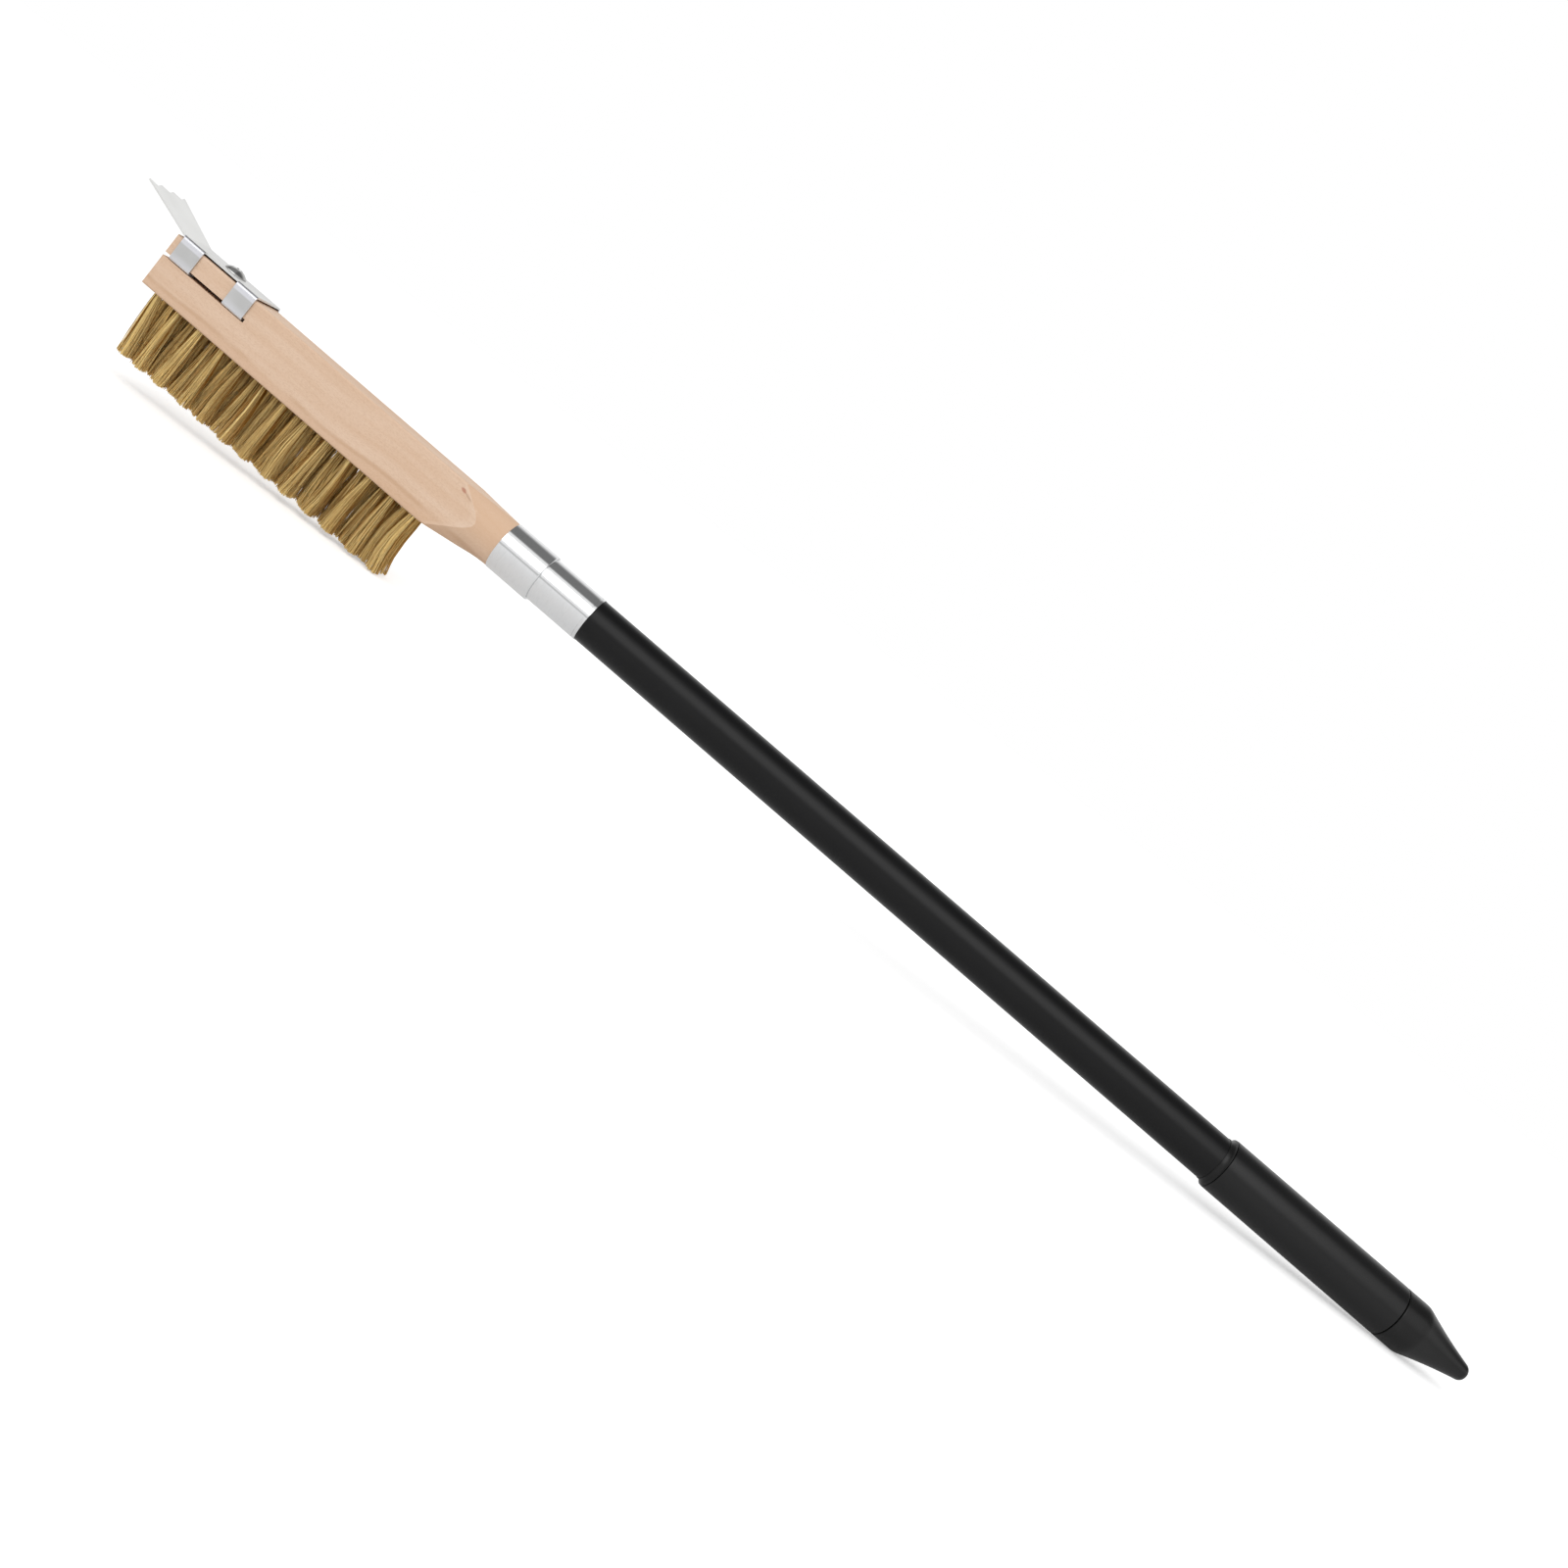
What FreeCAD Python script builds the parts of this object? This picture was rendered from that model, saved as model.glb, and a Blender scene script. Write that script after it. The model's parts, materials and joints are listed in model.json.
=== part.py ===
import FreeCAD, Part
import math
import os
import Sketcher

# Pizza oven brush: a beech head with brass wire tufts and a folded steel scraper,
# on a round handle tube with a grip. Millimetres.
#
# Every piece is drawn along the handle: X runs from the front of the wooden head to the
# end of the handle, on the handle's own axis, the bristles point down and Y runs across
# the head. The last step lays the whole brush on its bristles and on the end of its grip,
# with the floor at z = 0 and the origin in the middle of its footprint.

SIZES = (
    # wooden head
    ("head_length", 231.0),
    ("head_width", 31.0),
    ("head_height", 31.5),
    ("head_top", 13.9),
    ("head_edge_round", 1.2),
    ("neck_length", 37.5),
    ("neck_end_radius", 13.8),
    ("neck_cove_radius", 80.0),
    ("neck_rise_length", 40.0),
    ("tenon_radius", 13.0),
    ("tenon_length", 18.0),
    ("kerf_height", 2.0),
    ("kerf_middle", 1.6),
    ("kerf_length", 55.6),
    # bristle tufts
    ("tuft_hole_radius", 2.25),
    ("tuft_hole_depth", 11.0),
    ("tuft_play", 0.1),
    ("first_tuft", 9.0),
    ("tuft_pitch", 14.82),
    ("tufts_per_row", 13),
    ("row_spacing", 6.0),
    ("tuft_reach", 37.1),
    ("tuft_tip_radius", 3.7),
    ("tuft_middle", 16.7),
    ("tuft_middle_radius", 2.7),
    ("tuft_dome", 1.1),
    ("tuft_dome_radius", 2.9),
    ("tuft_rib_share", 0.2),
    ("tuft_front_lean", 4.2),
    ("tuft_rear_lean", 2.5),
    ("tuft_lean_fade", 22.0),
    ("tuft_wander", 0.6),
    ("anchor_height", 1.6),
    ("anchor_thickness", 0.5),
    ("anchor_depth", 8.2),
    # scraper
    ("sheet_thickness", 1.0),
    ("plate_rise", 1.1),
    ("side_bend_radius", 1.2),
    ("arm_start", 4.4),
    ("arm_width", 13.5),
    ("arm_spacing", 36.4),
    ("hook_length", 5.0),
    ("hook_bend_radius", 0.6),
    ("blade_bend", 3.9),
    ("blade_length", 32.4),
    ("blade_angle", 19.5),
    ("blade_bend_radius", 2.0),
    ("blade_front_width", 43.5),
    ("notch_depth", 2.6),
    # scraper screw
    ("screw_along", 30.3),
    ("screw_head_radius", 6.4),
    ("screw_head_height", 3.3),
    ("screw_rim", 0.5),
    ("screw_radius", 1.9),
    ("screw_point", 2.4),
    ("screw_in_wood", 8.6),
    ("recess_length", 4.6),
    ("recess_width", 1.0),
    ("recess_depth", 1.5),
    # clearances: of a sliding fit, and between faces that only rest on each other
    ("fit", 0.05),
    ("seat_gap", 0.3),
    # ferrule and coupling
    ("ferrule_radius", 14.15),
    ("ferrule_length", 27.1),
    ("ferrule_rim_round", 0.9),
    ("stud_radius", 6.0),
    ("stud_length", 17.0),
    ("coupling_radius", 13.1),
    ("coupling_length", 32.75),
    ("coupling_groove", 0.5),
    ("coupling_lip", 1.5),
    ("plug_length", 25.0),
    # handle tube and grip
    ("tube_radius", 12.7),
    ("tube_wall", 1.2),
    ("tube_shown", 420.25),
    ("collar_length", 3.1),
    ("collar_edge", 0.2),
    ("collar_radius", 14.6),
    ("collar_spigot", 6.0),
    ("collar_spigot_radius", 13.6),
    ("seam_gap", 0.4),
    ("grip_radius", 14.8),
    ("grip_length", 111.55),
    ("grip_edge_round", 0.6),
    ("cap_cylinder", 13.85),
    ("cap_taper", 35.1),
    ("cap_end_radius", 4.2),
    ("cap_end_round", 3.9),
    ("cap_shoulder_round", 12.0),
    ("cap_hollow_radius", 277.0),
    ("cap_plug_length", 20.0),
)

# rows of tufts, ribs around a tuft, notches in the blade
ROWS = 4
LOBES = 6
NOTCHES = 3
# edges and points closer than this are at the same place
NEAR = 0.01

doc = FreeCAD.newDocument("PizzaOvenBrush")
dims = doc.addObject("Spreadsheet::Sheet", "Dims")
for line, (name, value) in enumerate(SIZES, start=1):
    dims.set(f"A{line}", name)
    dims.set(f"B{line}", str(value))
    dims.setAlias(f"B{line}", name)
doc.recompute()
size = {name: float(dims.get(name)) for name, value in SIZES}


def amount(formula):
    """The present value of a formula of the sheet."""
    found = dims.evalExpression(formula)
    return float(getattr(found, "Value", found))


def new_body(name):
    body = doc.addObject("PartDesign::Body", name)
    body.Label = name
    return body


def new_sketch(body, name, role, offset=None, along=None):
    """A sketch on one of the body's own origin planes, moved off it by one formula and along
    the handle by another."""
    sketch = body.newObject("Sketcher::SketchObject", name)
    plane = next(item for item in body.Origin.OriginFeatures if item.Role == role)
    sketch.AttachmentSupport = [(plane, "")]
    sketch.MapMode = "FlatFace"
    if offset is not None:
        sketch.setExpression("AttachmentOffset.Base.z", offset)
    if along is not None:
        sketch.setExpression("AttachmentOffset.Base.x", along)
    doc.recompute()
    return sketch


def hold(sketch, kind, geometry, point, formula):
    """Tie one coordinate of a sketch point to a formula, or to an axis where it is zero."""
    value = amount(formula)
    if abs(value) < NEAR:
        axis = -2 if kind == "DistanceX" else -1
        sketch.addConstraint(Sketcher.Constraint("PointOnObject", geometry, point, axis))
        return
    index = sketch.addConstraint(Sketcher.Constraint(kind, -1, 1, geometry, point, value))
    sketch.setExpression(f"Constraints[{index}]", formula)


def add_outline(sketch, corners):
    """A closed outline. A corner is (across, up), or (across, up, radius) where an arc leads
    from it to the next corner: turning left with a positive radius, right with a negative."""
    first = sketch.GeometryCount
    places = [FreeCAD.Vector(amount(c[0]), amount(c[1]), 0) for c in corners]
    count = len(corners)
    for i, corner in enumerate(corners):
        start = places[i]
        end = places[(i + 1) % count]
        if len(corner) == 2:
            sketch.addGeometry(Part.LineSegment(start, end), False)
            continue
        radius = amount(corner[2])
        half = (end - start) * 0.5
        rise = math.sqrt(max(radius * radius - half.Length * half.Length, 0.0))
        left = FreeCAD.Vector(-half.y, half.x, 0).normalize()
        centre = start + half + left * math.copysign(rise, radius)
        begin = math.atan2(start.y - centre.y, start.x - centre.x)
        finish = math.atan2(end.y - centre.y, end.x - centre.x)
        if radius < 0:
            begin, finish = finish, begin
        circle = Part.Circle(centre, FreeCAD.Vector(0, 0, 1), abs(radius))
        sketch.addGeometry(Part.ArcOfCircle(circle, begin, finish), False)
    for i, corner in enumerate(corners):
        here = first + i
        following = first + (i + 1) % count
        turned = len(corner) == 3 and amount(corner[2]) < 0
        next_corner = corners[(i + 1) % count]
        next_turned = len(next_corner) == 3 and amount(next_corner[2]) < 0
        end_point = 1 if turned else 2
        start_point = 2 if next_turned else 1
        sketch.addConstraint(Sketcher.Constraint("Coincident", here, end_point, following, start_point))
    for i, corner in enumerate(corners):
        turned = len(corner) == 3 and amount(corner[2]) < 0
        start_point = 2 if turned else 1
        hold(sketch, "DistanceX", first + i, start_point, corner[0])
        hold(sketch, "DistanceY", first + i, start_point, corner[1])
        if len(corner) == 3:
            radius = abs(amount(corner[2]))
            index = sketch.addConstraint(Sketcher.Constraint("Radius", first + i, radius))
            sketch.setExpression(f"Constraints[{index}]", f"abs({corner[2]})")
    doc.recompute()


def add_circle(sketch, across, up, radius):
    centre = FreeCAD.Vector(amount(across), amount(up), 0)
    circle = Part.Circle(centre, FreeCAD.Vector(0, 0, 1), amount(radius))
    geometry = sketch.addGeometry(circle, False)
    hold(sketch, "DistanceX", geometry, 3, across)
    hold(sketch, "DistanceY", geometry, 3, up)
    index = sketch.addConstraint(Sketcher.Constraint("Radius", geometry, amount(radius)))
    sketch.setExpression(f"Constraints[{index}]", radius)
    doc.recompute()


def add_feature(body, kind, name, sketch, **settings):
    """A pad, pocket, revolution or groove of a sketch. A text value is a formula."""
    feature = body.newObject(f"PartDesign::{kind}", name)
    feature.Profile = sketch
    for key, value in settings.items():
        if isinstance(value, str) and value.startswith("="):
            feature.setExpression(key, value[1:])
        else:
            setattr(feature, key, value)
    sketch.Visibility = False
    body.Tip = feature
    doc.recompute()
    return feature


def turn(body, name, sketch, kind="Revolution", axis="H_Axis"):
    return add_feature(body, kind, name, sketch, ReferenceAxis=(sketch, [axis]), Angle=360)


def repeat(body, name, feature, sketch, count, spacing, axis="H_Axis"):
    """Copies of a feature in a line along one axis of a sketch."""
    pattern = body.newObject("PartDesign::LinearPattern", name)
    pattern.Originals = [feature]
    pattern.Direction = (sketch, [axis])
    pattern.Mode = "Extent"
    pattern.setExpression("Occurrences", count)
    pattern.setExpression("Length", f"({count} - 1) * {spacing}")
    body.Tip = pattern
    doc.recompute()
    return pattern


def edges_where(shape, test):
    return [f"Edge{i}" for i, edge in enumerate(shape.Edges, start=1) if test(edge)]


def round_edges(body, name, base, names, radius):
    fillet = body.newObject("PartDesign::Fillet", name)
    fillet.Base = (base, names)
    fillet.setExpression("Radius", radius)
    body.Tip = fillet
    doc.recompute()
    return fillet


def ring_edges(shape, along, radius):
    """Names of the round edges about the handle's axis at one place along it."""
    def is_ring(edge):
        curve = edge.Curve
        if not isinstance(curve, Part.Circle):
            return False
        return abs(curve.Center.x - along) < NEAR and abs(curve.Radius - radius) < NEAR
    return edges_where(shape, is_ring)


# Places along the handle that several pieces share
UNDERSIDE = "Dims.head_top - Dims.head_height"
FERRULE_END = "Dims.head_length + Dims.ferrule_length"
TUBE_START = f"{FERRULE_END} + Dims.coupling_length"
GRIP_START = f"{TUBE_START} + Dims.tube_shown"
COLLAR_END = f"{GRIP_START} + Dims.collar_length + Dims.collar_edge"
SLEEVE_START = f"{COLLAR_END} + Dims.seam_gap"
SLEEVE_END = f"{SLEEVE_START} + Dims.grip_length"
CAP_START = f"{SLEEVE_END} + Dims.seam_gap"
CAP_CORNER = f"{CAP_START} + Dims.cap_cylinder"
CAP_END = f"{CAP_CORNER} + Dims.cap_taper"
PLATE_UNDER = "Dims.head_top + Dims.plate_rise"
PLATE_TOP = f"{PLATE_UNDER} + Dims.sheet_thickness"
TUBE_BORE = "Dims.tube_radius - Dims.tube_wall"


def row_across(row):
    """How far across the head a row of tufts lies, counted from the near side."""
    return f"({row} - {(ROWS - 1) / 2}) * Dims.row_spacing"


def row_first(row):
    """The first tuft of a row: every other row starts half a pitch further on."""
    return "Dims.first_tuft" if row % 2 == 0 else "Dims.first_tuft + Dims.tuft_pitch / 2"


def row_count(row):
    return "Dims.tufts_per_row" if row % 2 == 0 else "Dims.tufts_per_row - 1"


def make_wooden_head():
    """Square beech block, sloping up to a neck turned in a long hollow, and a round tenon."""
    body = new_body("wooden_head")
    tenon_end = "Dims.head_length + Dims.tenon_length"
    side = new_sketch(body, "head_side", "XZ_Plane")
    add_outline(side, [
        ("0", UNDERSIDE),
        ("Dims.head_length - Dims.neck_rise_length", UNDERSIDE),
        ("Dims.head_length", "-Dims.head_top"),
        (tenon_end, "-Dims.head_top"),
        (tenon_end, "Dims.head_top"),
        ("0", "Dims.head_top"),
    ])
    block = add_feature(body, "Pad", "head_block", side, Midplane=True, Length="=Dims.head_width")
    far = amount(tenon_end) - NEAR
    names = edges_where(block.Shape, lambda edge: min(v.X for v in edge.Vertexes) < far
                        and abs(abs(edge.CenterOfMass.y) - size["head_width"] / 2) < NEAR)
    rounded = round_edges(body, "head_edges", block, names, "Dims.head_edge_round")

    neck = new_sketch(body, "neck_profile", "XZ_Plane")
    corner = f"sqrt((Dims.head_width / 2)^2 + ({UNDERSIDE})^2) + Dims.fit"
    past_end = f"{tenon_end} + Dims.head_edge_round"
    add_outline(neck, [
        ("Dims.head_length - Dims.neck_length", corner, "Dims.neck_cove_radius"),
        ("Dims.head_length", "Dims.neck_end_radius"),
        ("Dims.head_length", "Dims.tenon_radius"),
        (past_end, "Dims.tenon_radius"),
        (past_end, corner),
    ])
    turn(body, "turned_neck", neck, kind="Groove")

    kerf = new_sketch(body, "kerf_profile", "XZ_Plane")
    low = "Dims.kerf_middle - Dims.kerf_height / 2"
    high = "Dims.kerf_middle + Dims.kerf_height / 2"
    add_outline(kerf, [
        ("-Dims.head_edge_round", low),
        ("Dims.kerf_length", low),
        ("Dims.kerf_length", high),
        ("-Dims.head_edge_round", high),
    ])
    add_feature(body, "Pocket", "saw_kerf", kerf, Type="ThroughAll", Midplane=True)

    pilot = new_sketch(body, "pilot_place", "XY_Plane", "Dims.head_top")
    add_circle(pilot, "Dims.screw_along", "0", "Dims.screw_radius + Dims.fit")
    add_feature(body, "Pocket", "screw_hole", pilot, Length="=Dims.screw_in_wood + Dims.seat_gap")

    bore = new_sketch(body, "stud_place", "YZ_Plane", tenon_end)
    add_circle(bore, "0", "0", "Dims.stud_radius + 2 * Dims.fit")
    add_feature(body, "Pocket", "stud_room", bore,
                Length="=Dims.stud_length - Dims.ferrule_length + Dims.tenon_length + Dims.seat_gap")

    for start, name in ((0, "outer"), (1, "inner")):
        place = new_sketch(body, f"{name}_hole_places", "XY_Plane", UNDERSIDE)
        for row in range(start, ROWS, 2):
            add_circle(place, row_first(row), row_across(row), "Dims.tuft_hole_radius")
        holes = add_feature(body, "Pocket", f"{name}_first_holes", place,
                            Length="=Dims.tuft_hole_depth", Reversed=True)
        repeat(body, f"{name}_holes", holes, place, row_count(start), "Dims.tuft_pitch")
    return body


def star(centre, radius):
    """A closed wire of straight edges: the ribbed outline of a bundle of wires."""
    points = []
    for i in range(2 * LOBES):
        reach = radius if i % 2 == 0 else radius * (1 - size["tuft_rib_share"])
        angle = math.pi * i / LOBES
        points.append(centre + FreeCAD.Vector(reach * math.cos(angle), reach * math.sin(angle), 0))
    return Part.makePolygon(points + points[:1])


def tuft_places(row):
    """Root and lean of every tuft of a row. The lean is how far the tips stand off from
    above the root: towards the handle at both ends of the head, fading from one tuft to the
    next, and with a little wander everywhere, as in wire that is set by hand."""
    first = amount(row_first(row))
    whole = (size["tufts_per_row"] - 1) * size["tuft_pitch"]
    places = []
    for i in range(round(amount(row_count(row)))):
        along = first + i * size["tuft_pitch"]
        from_front = along - size["first_tuft"]
        front = size["tuft_front_lean"] * max(1 - from_front / size["tuft_lean_fade"], 0)
        rear = size["tuft_rear_lean"] * max(1 - (whole - from_front) / size["tuft_lean_fade"], 0)
        wander_x = size["tuft_wander"] * math.sin(2.3 * i + 1.7 * row)
        wander_y = size["tuft_wander"] * math.cos(1.9 * i + row)
        root = FreeCAD.Vector(along, amount(row_across(row)), amount(UNDERSIDE))
        places.append((root, FreeCAD.Vector(front + rear + wander_x, wander_y, 0)))
    return places


def make_tuft(root, lean):
    """One tuft of straight wires, ribbed, spreading from its hole to a low domed tip,
    with the slot of the anchor that pins its fold in the hole."""
    held = size["tuft_hole_radius"] - size["tuft_play"]
    reach = size["tuft_reach"]
    # depth below the mouth of the hole, and radius there
    levels = (
        (size["tuft_play"] - size["tuft_hole_depth"], held),
        (0.0, held),
        (size["tuft_middle"], size["tuft_middle_radius"]),
        (reach - size["tuft_dome"], size["tuft_tip_radius"]),
        (reach, size["tuft_dome_radius"]),
    )
    rings = []
    for depth, radius in levels:
        sideways = lean * (max(depth, 0.0) / reach)
        rings.append(star(root + sideways - FreeCAD.Vector(0, 0, depth), radius))
    tuft = Part.makeLoft(rings, True, True)
    across = 2 * size["tuft_hole_radius"]
    play = size["tuft_play"] / 2
    corner = root + FreeCAD.Vector(-size["anchor_thickness"] / 2 - play, -across / 2,
                                   size["anchor_depth"] - play)
    slot = Part.makeBox(size["anchor_thickness"] + 2 * play, across,
                        size["anchor_height"] + 2 * play, corner)
    return tuft.cut(slot)


def make_bristle_row(row):
    """One row of separate tufts, each leaning its own way."""
    feature = doc.addObject("Part::Feature", f"bristle_row_{row + 1}")
    feature.Label = f"bristle_row_{row + 1}"
    feature.Shape = Part.makeCompound([make_tuft(root, lean) for root, lean in tuft_places(row)])
    return feature


def make_anchor_row(row):
    """Short lengths of flat wire, each across its hole in the fold of a tuft."""
    body = new_body(f"anchor_row_{row + 1}")
    body.AllowCompound = True
    place = new_sketch(body, f"anchor_place_{row + 1}", "XY_Plane", f"{UNDERSIDE} + Dims.anchor_depth")
    half_across = "(Dims.tuft_hole_radius - Dims.tuft_play)"
    half_thick = "Dims.anchor_thickness / 2"
    middle = row_across(row)
    first = row_first(row)
    add_outline(place, [
        (f"{first} - {half_thick}", f"{middle} - {half_across}"),
        (f"{first} + {half_thick}", f"{middle} - {half_across}"),
        (f"{first} + {half_thick}", f"{middle} + {half_across}"),
        (f"{first} - {half_thick}", f"{middle} + {half_across}"),
    ])
    anchor = add_feature(body, "Pad", f"anchor_{row + 1}", place, Length="=Dims.anchor_height")
    repeat(body, f"anchors_{row + 1}", anchor, place, row_count(row), "Dims.tuft_pitch")
    return body


def make_scraper():
    """One folded sheet: a toothed blade bent up in front of a plate, and four arms that
    fold down the sides of the head and hook into its saw kerf."""
    body = new_body("scraper")
    plate_end = "Dims.arm_start + Dims.arm_spacing + Dims.arm_width"
    blade_run = "Dims.blade_length * cos(Dims.blade_angle * 1 deg)"
    side = new_sketch(body, "sheet_side", "XZ_Plane")
    thick = size["sheet_thickness"]
    rise = math.radians(size["blade_angle"])
    a = FreeCAD.Vector(amount(plate_end), amount(PLATE_UNDER), 0)
    b = FreeCAD.Vector(size["blade_bend"], a.y, 0)
    c = b + FreeCAD.Vector(-math.cos(rise), math.sin(rise), 0) * size["blade_length"]
    d = c + FreeCAD.Vector(math.sin(rise), math.cos(rise), 0) * thick
    e = b + FreeCAD.Vector(thick * math.tan(rise / 2), thick, 0)
    f = a + FreeCAD.Vector(0, thick, 0)
    corners = [a, b, c, d, e, f]
    for i, corner in enumerate(corners):
        side.addGeometry(Part.LineSegment(corner, corners[(i + 1) % 6]), False)
    for i in range(6):
        side.addConstraint(Sketcher.Constraint("Coincident", i, 2, (i + 1) % 6, 1))
    side.addConstraint(Sketcher.Constraint("Horizontal", 0))
    side.addConstraint(Sketcher.Constraint("Horizontal", 4))
    side.addConstraint(Sketcher.Constraint("Vertical", 5))
    side.addConstraint(Sketcher.Constraint("Perpendicular", 1, 2))
    side.addConstraint(Sketcher.Constraint("Parallel", 1, 3))
    hold(side, "DistanceX", 0, 1, plate_end)
    hold(side, "DistanceY", 0, 1, PLATE_UNDER)
    hold(side, "DistanceX", 0, 2, "Dims.blade_bend")
    hold(side, "DistanceX", 1, 2, f"Dims.blade_bend - {blade_run}")
    hold(side, "DistanceY", 1, 2, f"{PLATE_UNDER} + Dims.blade_length * sin(Dims.blade_angle * 1 deg)")
    for line in (2, 5):
        index = side.addConstraint(Sketcher.Constraint("Distance", line, thick))
        side.setExpression(f"Constraints[{index}]", "Dims.sheet_thickness")
    sheet = add_feature(body, "Pad", "bent_sheet", side, Midplane=True, Length="=Dims.blade_front_width")

    def bend_at(shape, place):
        return edges_where(shape, lambda edge: abs(edge.CenterOfMass.x - place.x) < NEAR
                           and abs(edge.CenterOfMass.z - place.y) < NEAR
                           and edge.Length > 2 * thick)
    inner = round_edges(body, "blade_bend_inside", sheet, bend_at(sheet.Shape, e),
                        "Dims.blade_bend_radius")
    round_edges(body, "blade_bend_outside", inner, bend_at(inner.Shape, b),
                "Dims.blade_bend_radius + Dims.sheet_thickness")

    # everything outside the flat pattern is cut away, which leaves the flare and the teeth
    pattern = new_sketch(body, "flat_pattern", "XY_Plane")
    inner_side = "Dims.head_width / 2 + Dims.seat_gap"
    half_plate = f"({inner_side} - Dims.side_bend_radius)"
    half_root = f"({inner_side} + Dims.sheet_thickness)"
    half_front = "Dims.blade_front_width / 2"
    step = "Dims.arm_start - Dims.fit"
    front = f"Dims.blade_bend - {blade_run}"
    outline = [
        (plate_end, f"-{half_plate}"),
        (plate_end, half_plate),
        (step, half_plate),
        (step, half_root),
        (front, half_front),
    ]
    for i in range(1, 2 * NOTCHES):
        depth = front if i % 2 == 0 else f"{front} + Dims.notch_depth"
        outline.append((depth, f"{half_front} * {1 - i / NOTCHES}"))
    outline += [(front, f"-{half_front}"), (step, f"-{half_root}"), (step, f"-{half_plate}")]
    add_outline(pattern, outline)
    margin = "Dims.blade_front_width"
    add_outline(pattern, [
        (f"{front} - {margin}", f"-{margin}"),
        (f"{plate_end} + {margin}", f"-{margin}"),
        (f"{plate_end} + {margin}", margin),
        (f"{front} - {margin}", margin),
    ])
    add_feature(body, "Pocket", "cut_outline", pattern, Type="ThroughAll", Midplane=True)

    arm = new_sketch(body, "arm_section", "YZ_Plane", "Dims.arm_start")
    inside = f"({inner_side})"
    outside = f"({inner_side} + Dims.sheet_thickness)"
    bend = "Dims.side_bend_radius"
    curl = "Dims.hook_bend_radius"
    kerf_floor = "Dims.kerf_middle - Dims.kerf_height / 2"
    hook_top = f"({kerf_floor} + Dims.seat_gap + Dims.sheet_thickness)"
    overlap = f"({half_plate} - Dims.sheet_thickness)"
    for sign in ("", "-"):
        turned = "-" if sign == "" else ""
        other = "" if sign == "" else "-"
        add_outline(arm, [
            (f"{sign}{overlap}", PLATE_UNDER),
            (f"{sign}({inside} - {bend})", PLATE_UNDER, f"{turned}{bend}"),
            (f"{sign}{inside}", f"{PLATE_UNDER} - {bend}"),
            (f"{sign}{inside}", f"{hook_top} + {curl}", f"{turned}{curl}"),
            (f"{sign}({inside} - {curl})", hook_top),
            (f"{sign}({inside} - Dims.hook_length)", hook_top),
            (f"{sign}({inside} - Dims.hook_length)", f"{hook_top} - Dims.sheet_thickness"),
            (f"{sign}({inside} - {curl})", f"{hook_top} - Dims.sheet_thickness",
             f"{other}({curl} + Dims.sheet_thickness)"),
            (f"{sign}{outside}", f"{hook_top} + {curl}"),
            (f"{sign}{outside}", f"{PLATE_UNDER} - {bend}", f"{other}({bend} + Dims.sheet_thickness)"),
            (f"{sign}({inside} - {bend})", PLATE_TOP),
            (f"{sign}{overlap}", PLATE_TOP),
        ])
    arms = add_feature(body, "Pad", "front_arms", arm, Length="=Dims.arm_width")
    repeat(body, "all_arms", arms, arm, "2", "Dims.arm_spacing", axis="N_Axis")

    hole = new_sketch(body, "plate_hole_place", "XY_Plane", PLATE_TOP)
    add_circle(hole, "Dims.screw_along", "0", "Dims.screw_radius + 2 * Dims.fit")
    add_feature(body, "Pocket", "plate_hole", hole, Length="=2 * Dims.sheet_thickness")
    return body


def make_scraper_screw():
    """Low domed wood screw with a cross recess, down through the plate."""
    body = new_body("scraper_screw")
    dome = "(Dims.screw_head_height - Dims.screw_rim)"
    dome_radius = f"(Dims.screw_head_radius^2 + {dome}^2) / (2 * {dome})"
    point = "Dims.head_top - Dims.screw_in_wood"
    profile = new_sketch(body, "screw_profile", "XZ_Plane", along="Dims.screw_along")
    add_outline(profile, [
        ("0", point),
        ("Dims.screw_radius", f"{point} + Dims.screw_point"),
        ("Dims.screw_radius", PLATE_TOP),
        ("Dims.screw_head_radius", PLATE_TOP),
        ("Dims.screw_head_radius", f"{PLATE_TOP} + Dims.screw_rim", dome_radius),
        ("0", f"{PLATE_TOP} + Dims.screw_head_height"),
    ])
    turn(body, "screw_blank", profile, axis="V_Axis")
    cross = new_sketch(body, "recess_place", "XY_Plane", f"{PLATE_TOP} + Dims.screw_head_height",
                       along="Dims.screw_along")
    wide = "Dims.recess_width / 2"
    long = "Dims.recess_length / 2"
    add_outline(cross, [
        (long, f"-{wide}"), (long, wide), (wide, wide), (wide, long),
        (f"-{wide}", long), (f"-{wide}", wide), (f"-{long}", wide), (f"-{long}", f"-{wide}"),
        (f"-{wide}", f"-{wide}"), (f"-{wide}", f"-{long}"), (wide, f"-{long}"), (wide, f"-{wide}"),
    ])
    add_feature(body, "Pocket", "cross_recess", cross, Length="=Dims.recess_depth")
    return body


def make_head_ferrule():
    """Turned cup over the tenon, with a web that the handle's stud screws into."""
    body = new_body("head_ferrule")
    floor = "Dims.head_length + Dims.tenon_length + Dims.seat_gap"
    profile = new_sketch(body, "ferrule_profile", "XZ_Plane")
    add_outline(profile, [
        ("Dims.head_length", "Dims.tenon_radius + Dims.fit"),
        (floor, "Dims.tenon_radius + Dims.fit"),
        (floor, "Dims.stud_radius + Dims.fit"),
        (FERRULE_END, "Dims.stud_radius + Dims.fit"),
        (FERRULE_END, "Dims.ferrule_radius"),
        ("Dims.head_length", "Dims.ferrule_radius"),
    ])
    blank = turn(body, "ferrule_blank", profile)
    rim = ring_edges(blank.Shape, amount(FERRULE_END), size["ferrule_radius"])
    round_edges(body, "ferrule_rim", blank, rim, "Dims.ferrule_rim_round")
    return body


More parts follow.
